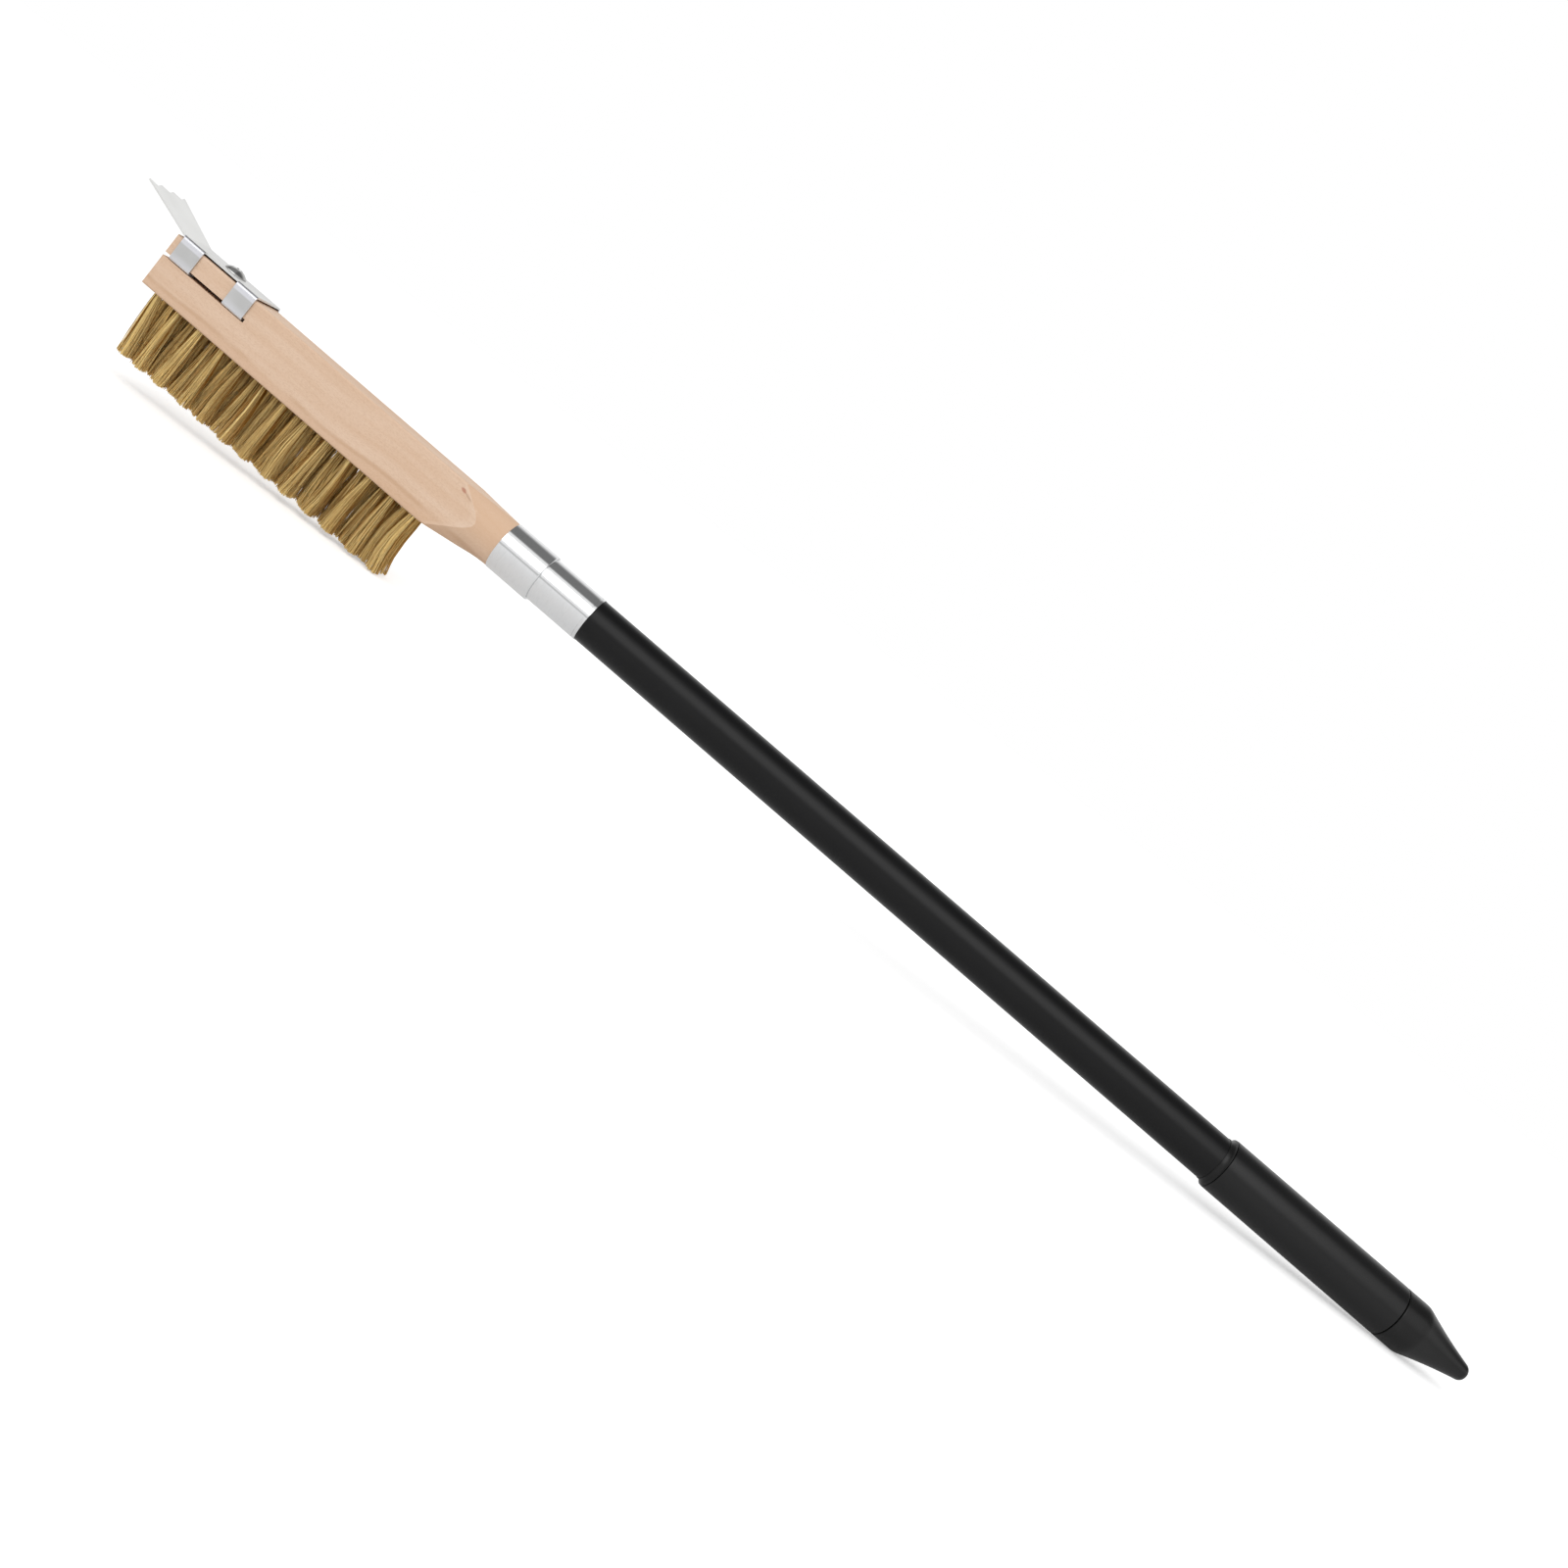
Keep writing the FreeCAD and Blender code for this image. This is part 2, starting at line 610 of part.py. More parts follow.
def make_handle_coupling():
    """Turned piece between ferrule and tube: a stud, a bare barrel and a plug."""
    body = new_body("handle_coupling")
    groove = "Dims.coupling_groove"
    lip = f"{TUBE_START} - Dims.coupling_lip"
    neck = f"Dims.coupling_radius - {groove}"
    profile = new_sketch(body, "coupling_profile", "XZ_Plane")
    add_outline(profile, [
        (f"{FERRULE_END} - Dims.stud_length", "0"),
        (f"{TUBE_START} + Dims.plug_length", "0"),
        (f"{TUBE_START} + Dims.plug_length", f"{TUBE_BORE} - Dims.fit"),
        (TUBE_START, f"{TUBE_BORE} - Dims.fit"),
        (TUBE_START, "Dims.coupling_radius"),
        (lip, "Dims.coupling_radius"),
        (lip, neck),
        (f"{lip} - {groove}", neck),
        (f"{lip} - {groove}", "Dims.coupling_radius"),
        (f"{FERRULE_END} + {groove}", "Dims.coupling_radius"),
        (f"{FERRULE_END} + {groove}", neck),
        (FERRULE_END, neck),
        (FERRULE_END, "Dims.stud_radius"),
        (f"{FERRULE_END} - Dims.stud_length", "Dims.stud_radius"),
    ])
    turn(body, "coupling_blank", profile)
    return body


def make_handle_tube():
    """Straight round tube from the coupling to the end cap, under the whole grip."""
    body = new_body("handle_tube")
    section = new_sketch(body, "tube_section", "YZ_Plane", TUBE_START)
    add_circle(section, "0", "0", "Dims.tube_radius")
    add_circle(section, "0", "0", TUBE_BORE)
    add_feature(body, "Pad", "tube_length", section,
                Length=f"={CAP_START} - ({TUBE_START}) - Dims.seam_gap")
    return body


def make_grip_collar():
    """Ring in front of the grip, flared on a hollow curve, with a spigot under the sleeve."""
    body = new_body("grip_collar")
    inside = "Dims.tube_radius + Dims.fit"
    flare_end = f"{GRIP_START} + Dims.collar_length"
    profile = new_sketch(body, "collar_profile", "XZ_Plane")
    add_outline(profile, [
        (GRIP_START, inside),
        (f"{COLLAR_END} + Dims.collar_spigot", inside),
        (f"{COLLAR_END} + Dims.collar_spigot", "Dims.collar_spigot_radius"),
        (COLLAR_END, "Dims.collar_spigot_radius"),
        (COLLAR_END, "Dims.collar_radius"),
        (flare_end, "Dims.collar_radius", "-Dims.collar_length"),
        (GRIP_START, f"{inside} + Dims.collar_edge"),
    ])
    turn(body, "collar_blank", profile)
    return body


def make_grip_sleeve():
    """Soft sleeve between collar and cap, rounded at both ends."""
    body = new_body("grip_sleeve")
    inside = "Dims.tube_radius + Dims.fit"
    seat = f"{COLLAR_END} + Dims.collar_spigot + Dims.seam_gap"
    profile = new_sketch(body, "sleeve_profile", "XZ_Plane")
    add_outline(profile, [
        (SLEEVE_START, "Dims.collar_spigot_radius + Dims.fit"),
        (seat, "Dims.collar_spigot_radius + Dims.fit"),
        (seat, inside),
        (SLEEVE_END, inside),
        (SLEEVE_END, "Dims.grip_radius"),
        (SLEEVE_START, "Dims.grip_radius"),
    ])
    blank = turn(body, "sleeve_blank", profile)
    ends = ring_edges(blank.Shape, amount(SLEEVE_START), size["grip_radius"])
    ends += ring_edges(blank.Shape, amount(SLEEVE_END), size["grip_radius"])
    round_edges(body, "sleeve_ends", blank, ends, "Dims.grip_edge_round")
    return body


def make_end_cap():
    """Cap with a slightly hollow taper and a rounded end, plugged into the tube."""
    body = new_body("end_cap")
    profile = new_sketch(body, "cap_profile", "XZ_Plane")
    plug = f"{TUBE_BORE} - Dims.fit"
    add_outline(profile, [
        (f"{CAP_START} - Dims.cap_plug_length", "0"),
        (CAP_END, "0"),
        (CAP_END, "Dims.cap_end_radius", "-Dims.cap_hollow_radius"),
        (CAP_CORNER, "Dims.grip_radius"),
        (CAP_START, "Dims.grip_radius"),
        (CAP_START, plug),
        (f"{CAP_START} - Dims.cap_plug_length", plug),
    ])
    blank = turn(body, "cap_blank", profile)
    tip = ring_edges(blank.Shape, amount(CAP_END), size["cap_end_radius"])
    ended = round_edges(body, "cap_end", blank, tip, "Dims.cap_end_round")
    shoulder = ring_edges(ended.Shape, amount(CAP_CORNER), size["grip_radius"])
    shouldered = round_edges(body, "cap_shoulder", ended, shoulder, "Dims.cap_shoulder_round")
    seam = ring_edges(shouldered.Shape, amount(CAP_START), size["grip_radius"])
    round_edges(body, "cap_seam", shouldered, seam, "Dims.grip_edge_round")
    return body


def rest_angle():
    """The slope that the brush lies at: a line under the last tips of the bristles that
    touches the rounded shoulder of the cap from below."""
    last_tips = max(root.x + lean.x for row in range(ROWS) for root, lean in tuft_places(row))
    tip_x = last_tips + size["tuft_dome_radius"]
    tip_z = amount(UNDERSIDE) - size["tuft_reach"]
    fall = size["grip_radius"] - size["cap_end_radius"]
    chord = math.hypot(fall, size["cap_taper"])
    taper = math.asin(fall / chord) + math.asin(chord / 2 / size["cap_hollow_radius"])
    radius = size["cap_shoulder_round"]
    centre_x = amount(CAP_CORNER) - radius * math.tan(taper / 2)
    centre_z = radius - size["grip_radius"]
    run = centre_x - tip_x
    drop = centre_z - tip_z
    return math.atan2(drop, run) - math.asin(radius / math.hypot(run, drop))


def lay_down(pieces):
    """Turn every piece to the rest slope, and set the footprint's middle on the origin."""
    slope = FreeCAD.Rotation(FreeCAD.Vector(0, 1, 0), math.degrees(rest_angle()))
    turned = Part.makeCompound([piece.Shape.copy() for piece in pieces])
    turned.Placement = FreeCAD.Placement(FreeCAD.Vector(), slope)
    box = turned.optimalBoundingBox(False)
    shift = FreeCAD.Vector(-box.Center.x, -box.Center.y, -box.ZMin)
    for piece in pieces:
        piece.Placement = FreeCAD.Placement(shift, slope)
    doc.recompute()
    return FreeCAD.Placement(shift, slope)


def check(pieces):
    """Stop on any failed object, and on any piece that isn't a whole set of solids."""
    for item in doc.Objects:
        if "Invalid" in item.State or "Error" in item.State:
            raise RuntimeError(f"{item.Name} failed: {item.State}")
    for piece in pieces:
        shape = piece.Shape
        if shape.isNull() or not shape.isValid() or not shape.Solids:
            raise RuntimeError(f"{piece.Label} is not a valid solid")


pieces = [make_wooden_head()]
pieces += [make_bristle_row(row) for row in range(ROWS)]
pieces += [make_anchor_row(row) for row in range(ROWS)]
pieces += [
    make_scraper(),
    make_scraper_screw(),
    make_head_ferrule(),
    make_handle_coupling(),
    make_handle_tube(),
    make_grip_collar(),
    make_grip_sleeve(),
    make_end_cap(),
]
laid = lay_down(pieces)
check(pieces)

os.makedirs("parts", exist_ok=True)
for piece in pieces:
    piece.Shape.exportStep(os.path.join("parts", piece.Label + ".step"))
    solids = piece.Shape.Solids
    print(f"{piece.Label}: {len(solids)} solids, {sum(s.Volume for s in solids) / 1000:.2f} cm3")
grip_middle = laid.multVec(FreeCAD.Vector((amount(SLEEVE_START) + amount(SLEEVE_END)) / 2, 0, 0))
print(f"rest slope {math.degrees(rest_angle()):.3f} degrees, grip middle {grip_middle}")
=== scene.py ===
import json
import math
import random

import bpy
from mathutils import Matrix, Vector


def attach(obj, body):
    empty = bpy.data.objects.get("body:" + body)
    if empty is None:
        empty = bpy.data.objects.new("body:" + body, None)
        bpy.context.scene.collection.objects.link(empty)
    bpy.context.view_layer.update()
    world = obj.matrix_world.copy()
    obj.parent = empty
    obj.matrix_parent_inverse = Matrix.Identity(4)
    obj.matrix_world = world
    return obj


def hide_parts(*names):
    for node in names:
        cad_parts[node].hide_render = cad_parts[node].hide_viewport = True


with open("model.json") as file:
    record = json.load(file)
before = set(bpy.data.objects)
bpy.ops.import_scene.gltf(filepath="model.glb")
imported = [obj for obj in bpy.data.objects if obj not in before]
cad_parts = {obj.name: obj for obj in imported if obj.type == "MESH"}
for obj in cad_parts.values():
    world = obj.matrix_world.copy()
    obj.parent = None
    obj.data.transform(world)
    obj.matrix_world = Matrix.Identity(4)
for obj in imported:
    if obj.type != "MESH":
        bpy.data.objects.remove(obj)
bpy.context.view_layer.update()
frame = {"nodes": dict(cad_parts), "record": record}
print("frame loaded,", len(frame["nodes"]), "nodes")

# The brush's own directions: along the handle, across the head, and up through the head.
# The mount on the grip gives a point on the handle's middle line and the way it runs.
gripMount = frame["record"]["mounts"][0]
gripPoint = Vector(gripMount["pos_m"])
along = Vector(gripMount["axis"]).normalized()
across = Vector((0, 1, 0))
upward = along.cross(across)
slope = math.atan2(-along.z, along.x)


def spread(points, direction):
    reached = [(p - gripPoint).dot(direction) for p in points]
    return min(reached), max(reached)


def corners(node):
    return [v.co for v in frame["nodes"][node].data.vertices]


# the front face of the wood, on the handle's middle line
headFront = gripPoint + along * spread(corners("wooden_head"), along)[0]


def brushPoint(forward, sideways, up):
    return headFront + along * forward + across * sideways + upward * up


class Wire:
    # one output socket, so that sums of sockets read as sums
    def __init__(self, graph, socket):
        self.graph = graph
        self.socket = socket

    def __add__(self, other):
        return self.graph.reckon("ADD", self, other)

    def __radd__(self, other):
        return self.graph.reckon("ADD", other, self)

    def __sub__(self, other):
        return self.graph.reckon("SUBTRACT", self, other)

    def __rsub__(self, other):
        return self.graph.reckon("SUBTRACT", other, self)

    def __mul__(self, other):
        return self.graph.reckon("MULTIPLY", self, other)

    def __rmul__(self, other):
        return self.graph.reckon("MULTIPLY", other, self)

    def __truediv__(self, other):
        return self.graph.reckon("DIVIDE", self, other)

    def __rtruediv__(self, other):
        return self.graph.reckon("DIVIDE", other, self)

    def __pow__(self, other):
        return self.graph.reckon("POWER", self, other)


class Graph:
    def __init__(self, tree):
        self.tree = tree

    # any node: its type, its settings, then the values or links of its sockets by name or place.
    # A tuple of output names gives back a list.
    def node(self, kind, settings=None, sockets=None, output=None):
        made = self.tree.nodes.new(kind)
        for name, value in (settings or {}).items():
            setattr(made, name, value)
        for name, value in (sockets or {}).items():
            self.feed(self.pick(made.inputs, name), value)
        if not made.outputs:
            return made
        if isinstance(output, tuple):
            return [Wire(self, self.pick(made.outputs, name)) for name in output]
        if output is None:
            return Wire(self, next(s for s in made.outputs if s.enabled))
        return Wire(self, self.pick(made.outputs, output))

    def pick(self, sockets, name):
        if isinstance(name, int):
            return sockets[name]
        return next(s for s in sockets if s.name == name and s.enabled)

    def feed(self, socket, value):
        if isinstance(value, Wire):
            self.tree.links.new(value.socket, socket)
            return
        if hasattr(socket.default_value, "__len__"):
            if isinstance(value, (int, float)):
                value = (value,) * len(socket.default_value)
            elif not isinstance(value, str) and len(value) < len(socket.default_value):
                value = (*value, 1)
        socket.default_value = value

    def reckon(self, operation, a, b=None):
        pair = [x for x in (a, b) if x is not None]
        vectors = any(isinstance(x, (tuple, Vector))
                      or isinstance(x, Wire) and x.socket.type == "VECTOR" for x in pair)
        kind = "ShaderNodeVectorMath" if vectors else "ShaderNodeMath"
        return self.node(kind, {"operation": operation}, dict(enumerate(pair)))

    def blend(self, factor, a, b):
        return self.node("ShaderNodeMix", {"data_type": "RGBA"},
                         {"Factor": factor, "A": a, "B": b}, "Result")

    # runs from 0 to 1 as the value goes from low to high, softly, and stays there
    def between(self, value, low, high):
        return self.node("ShaderNodeMapRange", {"interpolation_type": "SMOOTHSTEP"},
                         {"Value": value, "From Min": low, "From Max": high,
                          "To Min": 0.0, "To Max": 1.0})

    # moves a colour towards another as the value goes from low to high, by the share at most
    def tint(self, colour, other, value, low, high, share):
        return self.blend(self.between(value, low, high) * share, colour, other)

    # often: how often it changes along, across and up, or one number for all three
    def noise(self, place, often, detail, roughness=0.5):
        return self.node("ShaderNodeTexNoise", None, {
            "Vector": place * often, "Scale": 1.0, "Detail": detail, "Roughness": roughness}, "Fac")

    def parts(self, vector):
        return self.node("ShaderNodeSeparateXYZ", None, {0: vector}, ("X", "Y", "Z"))

    def vector(self, x, y, z):
        return self.node("ShaderNodeCombineXYZ", None, {"X": x, "Y": y, "Z": z})

    # places on the brush in millimetres: along the handle, across the head and up
    def brushPlace(self):
        place = self.node("ShaderNodeTexCoord", None, None, "Object")
        turned = self.node("ShaderNodeMapping", {"vector_type": "TEXTURE"},
                           {"Vector": place, "Location": headFront, "Rotation": (0, slope, 0)})
        return turned * 1000.0

    def bump(self, height, depth):
        return self.node("ShaderNodeBump", None,
                         {"Height": height, "Strength": 1.0, "Distance": depth})


# turns nodes on for a material or a world, and empties its tree
def emptyGraph(owner):
    owner.use_nodes = True
    owner.node_tree.nodes.clear()
    return Graph(owner.node_tree)


def addObject(name, data):
    made = bpy.data.objects.new(name, data)
    bpy.context.scene.collection.objects.link(made)
    return made


def newMaterial(name, fixed, build):
    material = bpy.data.materials.new(name)
    graph = emptyGraph(material)
    varied = build(graph)
    surface = graph.node("ShaderNodeBsdfPrincipled", None, {**fixed, **varied})
    graph.node("ShaderNodeOutputMaterial", None, {"Surface": surface})
    return material


# Places and lengths in the materials are mm in the brush's own directions: along, across, up.
# The depths of bumps are metres.
# A noise is given as how often it changes in a mm, its detail and its roughness.
# A tint is given as its low and high values and its share.
beech = {
    "pale": (0.78, 0.58, 0.435),
    "warm": (0.66, 0.43, 0.275),
    "streak": (0.54, 0.325, 0.185),
    "fleck": (0.45, 0.28, 0.18),
    # the colour of the painted highlight along the edge of the neck
    "rim": (0.86, 0.68, 0.54),
    "knot": (0.40, 0.10, 0.055),
    "knotTail": (0.42, 0.23, 0.13),
    "sway": ((0.011, 0.03, 0.0), 1.0),
    "swayHeight": 9.0,
    "layerLean": 0.3,
    "figure": ((0.005, 0.0, 0.13), 2.0),
    "figureTint": (0.35, 0.70, 0.55),
    "fibre": ((0.10, 2.6, 2.6), 4.0, 0.65),
    "fibreTint": (0.38, 0.75, 0.30),
    "speckle": ((0.9, 3.2, 3.2), 2.0, 0.6),
    "speckleTint": (0.42, 0.72, 0.34),
    "flecksOften": (0.42, 2.0, 2.0),
    "fleckEdge": (0.05, 0.24),
    "fleckPatches": (0.11, 2.0),
    "patchEdge": (0.42, 0.62),
    "fleckShare": 0.26,
    "heartAt": -16.2,                    # the growth layer where the warmer wood starts
    "heartTint": (-1.2, 1.6, 0.50),
    "lineAt": 0.2,
    "lineEdge": (0.2, 1.9),
    "lineBreaks": ((0.02, 0.1, 4.0), 2.0),
    "breakEdge": (0.34, 0.52),
    "lineShare": 0.55,
    "coveMiddle": (231.69, 93.80),       # the arc that the neck is turned to
    "coveRadius": 80.0,
    "sideFace": (15.38, 15.46),
    "rimWide": (0.1, 1.8),
    "rimShare": 0.22,
    "neckSkin": (0.01, 0.06),
    "neckFrom": (193.0, 195.0),
    "neckShare": (0.48, 0.30),           # for all of the neck, and more where the fibre is dark
    "paintedLightUnder": (3.0, 11.0),
    "paintedLightUnderShare": 0.8,
    "nearSide": (12.0, 15.0),
    "knotPlace": (200.3, 9.9),
    "knotSize": (1.9, 0.95),
    "knotShare": 0.62,
    "tailPlace": (204.2, 8.7),
    "tailSize": (3.0, 0.6),
    "tailShare": 0.45,
    "knotLean": 0.33,
    "knotEdge": (0.2, 1.7),
    "roughness": (0.52, 0.16, 0.1),      # plain, and more with the fibre and the flecks
    "relief": (0.6, 0.5),                # how far fibre stands up and flecks lie deep
    "grainDepth": 0.00005,
}


def beechNodes(g):
    place = g.brushPlace()
    x, y, z = g.parts(place)
    # slow waves that carry the growth layers up and down along the block
    sway = g.noise(place, *beech["sway"]) - 0.5
    layer = z + y * beech["layerLean"] + sway * beech["swayHeight"]
    figure = g.noise(g.vector(x, 0.0, layer), *beech["figure"])
    fibre = g.noise(place, *beech["fibre"])
    speckle = g.noise(place, *beech["speckle"])
    cells = g.node("ShaderNodeTexVoronoi", {"feature": "F1"},
                   {"Vector": place * beech["flecksOften"], "Scale": 1.0, "Randomness": 1.0},
                   "Distance")
    patches = g.between(g.noise(place, *beech["fleckPatches"]), *beech["patchEdge"])
    fleck = (1.0 - g.between(cells, *beech["fleckEdge"])) * patches
    colour = g.tint(beech["pale"], beech["warm"], figure, *beech["figureTint"])
    # warmer wood along the bottom, under a thin darker line that comes and goes
    drop = layer * -1.0 + beech["heartAt"]
    edge = g.reckon("ABSOLUTE", drop + beech["lineAt"])
    breaks = g.between(g.noise(g.vector(x, y, 1.0), *beech["lineBreaks"]), *beech["breakEdge"])
    line = (1.0 - g.between(edge, *beech["lineEdge"])) * breaks
    colour = g.tint(colour, beech["warm"], drop, *beech["heartTint"])
    colour = g.blend(line * beech["lineShare"], colour, beech["streak"])
    colour = g.tint(colour, beech["warm"], fibre, *beech["fibreTint"])
    colour = g.tint(colour, beech["streak"], speckle, *beech["speckleTint"])
    colour = g.blend(fleck * beech["fleckShare"], colour, beech["fleck"])
    # a paler painted highlight along the edge where the flat sides run out into the turned neck,
    # and cut fibres on the neck
    middleX, middleZ = beech["coveMiddle"]
    turned = middleZ - g.reckon("SQRT", beech["coveRadius"] ** 2 - (x - middleX) ** 2.0)
    short = turned - g.reckon("SQRT", y * y + z * z)
    sideFace = g.between(g.reckon("ABSOLUTE", y), *beech["sideFace"])
    rim = sideFace * (1.0 - g.between(short, *beech["rimWide"]))
    colour = g.blend(rim * beech["rimShare"], colour, beech["rim"])
    skin = 1.0 - g.between(short, *beech["neckSkin"])
    onNeck = skin * g.between(x, *beech["neckFrom"]) * (1.0 - sideFace)
    plain, byFibre = beech["neckShare"]
    # painted light: less of the darker neck colour towards the underside, which evens out the shade
    # there
    under = g.between(z * -1.0, *beech["paintedLightUnder"])
    warmth = onNeck * (plain + fibre * byFibre) * (1.0 - under * beech["paintedLightUnderShare"])
    colour = g.blend(warmth, colour, beech["warm"])
    # a small knot on the near side, with a brown tail that runs down towards the neck
    nearSide = g.between(y * -1.0, *beech["nearSide"])
    knot = spot(g, x, z, beech["knotPlace"], beech["knotSize"]) * nearSide
    tail = spot(g, x, z, beech["tailPlace"], beech["tailSize"]) * nearSide
    colour = g.blend(tail * beech["tailShare"], colour, beech["knotTail"])
    colour = g.blend(knot * beech["knotShare"], colour, beech["knot"])
    rough, byFibre, byFleck = beech["roughness"]
    fibreUp, fleckDown = beech["relief"]
    return {
        "Base Color": colour,
        "Roughness": rough + fibre * byFibre + fleck * byFleck,
        "Normal": g.bump(fibre * fibreUp - fleck * fleckDown, beech["grainDepth"]),
    }


# a soft leaning oval on the side of the wood
def spot(g, x, z, middle, size):
    ahead, rise = x - middle[0], z - middle[1]
    first = (ahead - rise * beech["knotLean"]) / size[0]
    second = (rise + ahead * beech["knotLean"]) / size[1]
    return 1.0 - g.between(first * first + second * second, *beech["knotEdge"])


brass = {
    "bright": (1.0, 0.79, 0.37),
    "dull": (0.36, 0.150, 0.018),
    "shadeRange": (0.0, 0.76),           # wires go from dull to bright as their shade does this
    # the painted light of the inner rows, a warmer tone
    "inner": (0.92, 0.58, 0.18),
    "innerRows": (4.0, 7.0),             # from the brush's middle, where the inner rows end
    "innerLightShare": 0.34,
    "drawn": ((1.4, 1.4, 0.5), 2.0),
    "drawnTint": (0.45, 0.75, 0.22),
    # painted shade near the wood and painted light at the tips; how far down the wire, from 0 at
    # the wood to 1 at its tip
    "shadeNearWood": (0.10, 0.042, 0.008),
    "shadeNearWoodEnds": (0.0, 0.5),
    "shadeNearWoodTones": (0.15, 0.75),
    "shadeNearWoodShare": 0.5,
    "tipLight": (0.45, 1.0, 0.28),
    "edgeTint": (0.80, 0.52, 0.26),      # what the wires mirror at a glancing angle
    "roughness": (0.34, 0.2),
}


def brassNodes(g):
    shade = g.node("ShaderNodeAttribute", {"attribute_name": "wireShade"}, None, "Fac")
    down = g.node("ShaderNodeAttribute", {"attribute_name": "wireReach"}, None, "Fac")
    place = g.brushPlace()
    fromMiddle = g.reckon("ABSOLUTE", g.parts(place)[1])
    drawn = g.noise(place, *brass["drawn"])
    colour = g.blend(g.between(shade, *brass["shadeRange"]), brass["dull"], brass["bright"])
    # painted light: the inner rows get a warmer tone, lighter than the dull wires, which makes up
    # for the shade that the outer rows throw on them
    inside = 1.0 - g.between(fromMiddle, *brass["innerRows"])
    colour = g.blend(inside * brass["innerLightShare"], colour, brass["inner"])
    colour = g.tint(colour, brass["dull"], drawn, *brass["drawnTint"])
    # painted shade makes the duller wires darkest near the wood, and painted light makes the tips
    # brighter
    paintedShadeNearWood = ((1.0 - g.between(down, *brass["shadeNearWoodEnds"]))
               * (1.0 - g.between(shade, *brass["shadeNearWoodTones"])))
    colour = g.blend(paintedShadeNearWood * brass["shadeNearWoodShare"], colour, brass["shadeNearWood"])
    # painted light at the tips
    colour = g.tint(colour, brass["bright"], down, *brass["tipLight"])
    rough, byDrawn = brass["roughness"]
    return {
        "Base Color": colour,
        "Roughness": rough + drawn * byDrawn,
    }


# painted highlights: the arms' bend over the edge, their lower ends and the flat top are lighter
steel = {
    "light": (0.67, 0.67, 0.67),
    "dark": (0.59, 0.59, 0.585),
    "fold": (0.84, 0.845, 0.90),
    "plate": (0.87, 0.87, 0.85),
    "cloud": (0.05, 2.0, 0.5),
    "cloudRange": (0.35, 0.7),
    "rolled": ((0.35, 9.0, 9.0), 3.0, 0.6),
    "rollDepth": 0.000004,
    "armSide": (15.4, 15.9),             # the arms lie outside this, across
    "armsFrom": (3.6, 4.2),              # and behind this, along
    "foldUp": (11.2, 12.2),              # the arms' bend over the edge, up, where the painted highlight lies
    "foldShare": 0.75,
    "hookUp": (2.4, 6.5),                # their lower ends, with a lighter painted highlight too
    "hookHighlightShare": 0.4,
    "plateUp": (14.6, 15.0),
    "plateShare": 0.75,
    "roughness": (0.26, 0.10, 0.06),     # plain, and more with the rolling and the clouds
}


def steelNodes(g):
    place = g.brushPlace()
    x, y, z = g.parts(place)
    rolled = g.noise(place, *steel["rolled"])
    cloud = g.noise(place, *steel["cloud"])
    colour = g.blend(g.between(cloud, *steel["cloudRange"]), steel["light"], steel["dark"])
    onArm = g.between(g.reckon("ABSOLUTE", y), *steel["armSide"]) * g.between(x, *steel["armsFrom"])
    fold = onArm * g.between(z, *steel["foldUp"])
    hookHighlight = onArm * (1.0 - g.between(z, *steel["hookUp"]))
    onPlate = (1.0 - onArm) * g.between(z, *steel["plateUp"])
    colour = g.blend(fold * steel["foldShare"] + hookHighlight * steel["hookHighlightShare"], colour, steel["fold"])
    # painted light on the flat top
    colour = g.blend(onPlate * steel["plateShare"], colour, steel["plate"])
    rough, byRolled, byCloud = steel["roughness"]
    return {
        "Base Color": colour,
        "Roughness": rough + rolled * byRolled + cloud * byCloud,
        "Normal": g.bump(rolled, steel["rollDepth"]),
    }


screw = {
    "light": (0.90, 0.90, 0.89),
    "dark": (0.72, 0.72, 0.71),
    "cloud": (0.7, 3.0),
    "flankReflection": (0.20, 0.195, 0.185),       # painted dark reflection at its two sides along the handle
    "middleAt": 30.3,                    # along
    "middleWide": (1.5, 2.6),
    "flankReflectionShare": 0.6,
    "roughness": (0.12, 0.10),
}


def screwNodes(g):
    place = g.brushPlace()
    cloud = g.noise(place, *screw["cloud"])
    colour = g.blend(cloud, screw["light"], screw["dark"])
    aside = g.reckon("ABSOLUTE", g.parts(place)[0] - screw["middleAt"])
    # painted dark reflections on the head's two sides
    flankReflection = g.between(aside, *screw["middleWide"])
    colour = g.blend(flankReflection * screw["flankReflectionShare"], colour, screw["flankReflection"])
    rough, byCloud = screw["roughness"]
    return {
        "Base Color": colour,
        "Roughness": rough + cloud * byCloud,
    }


aluminium = {
    "light": (0.79, 0.795, 0.80),
    "dark": (0.73, 0.735, 0.74),
    "rings": ((14.0, 0.0, 0.0), 2.0, 0.6),
    "wear": ((1.6, 0.25, 0.25), 4.0, 0.6),
    "wearRange": (0.4, 0.8),
    "roughness": (0.07, 0.05, 0.04),     # plain, and more with the rings and the wear
    "turnedDepth": 0.000001,
}


def aluminiumNodes(g):
    place = g.brushPlace()
    # rings left by the turning tool, then fine wear that runs round the piece
    rings = g.noise(place, *aluminium["rings"])
    wear = g.noise(place, *aluminium["wear"])
    worn = g.between(wear, *aluminium["wearRange"])
    rough, byRings, byWear = aluminium["roughness"]
    return {
        "Base Color": g.blend(worn, aluminium["light"], aluminium["dark"]),
        "Roughness": rough + rings * byRings + wear * byWear,
        "Normal": g.bump(rings, aluminium["turnedDepth"]),
    }


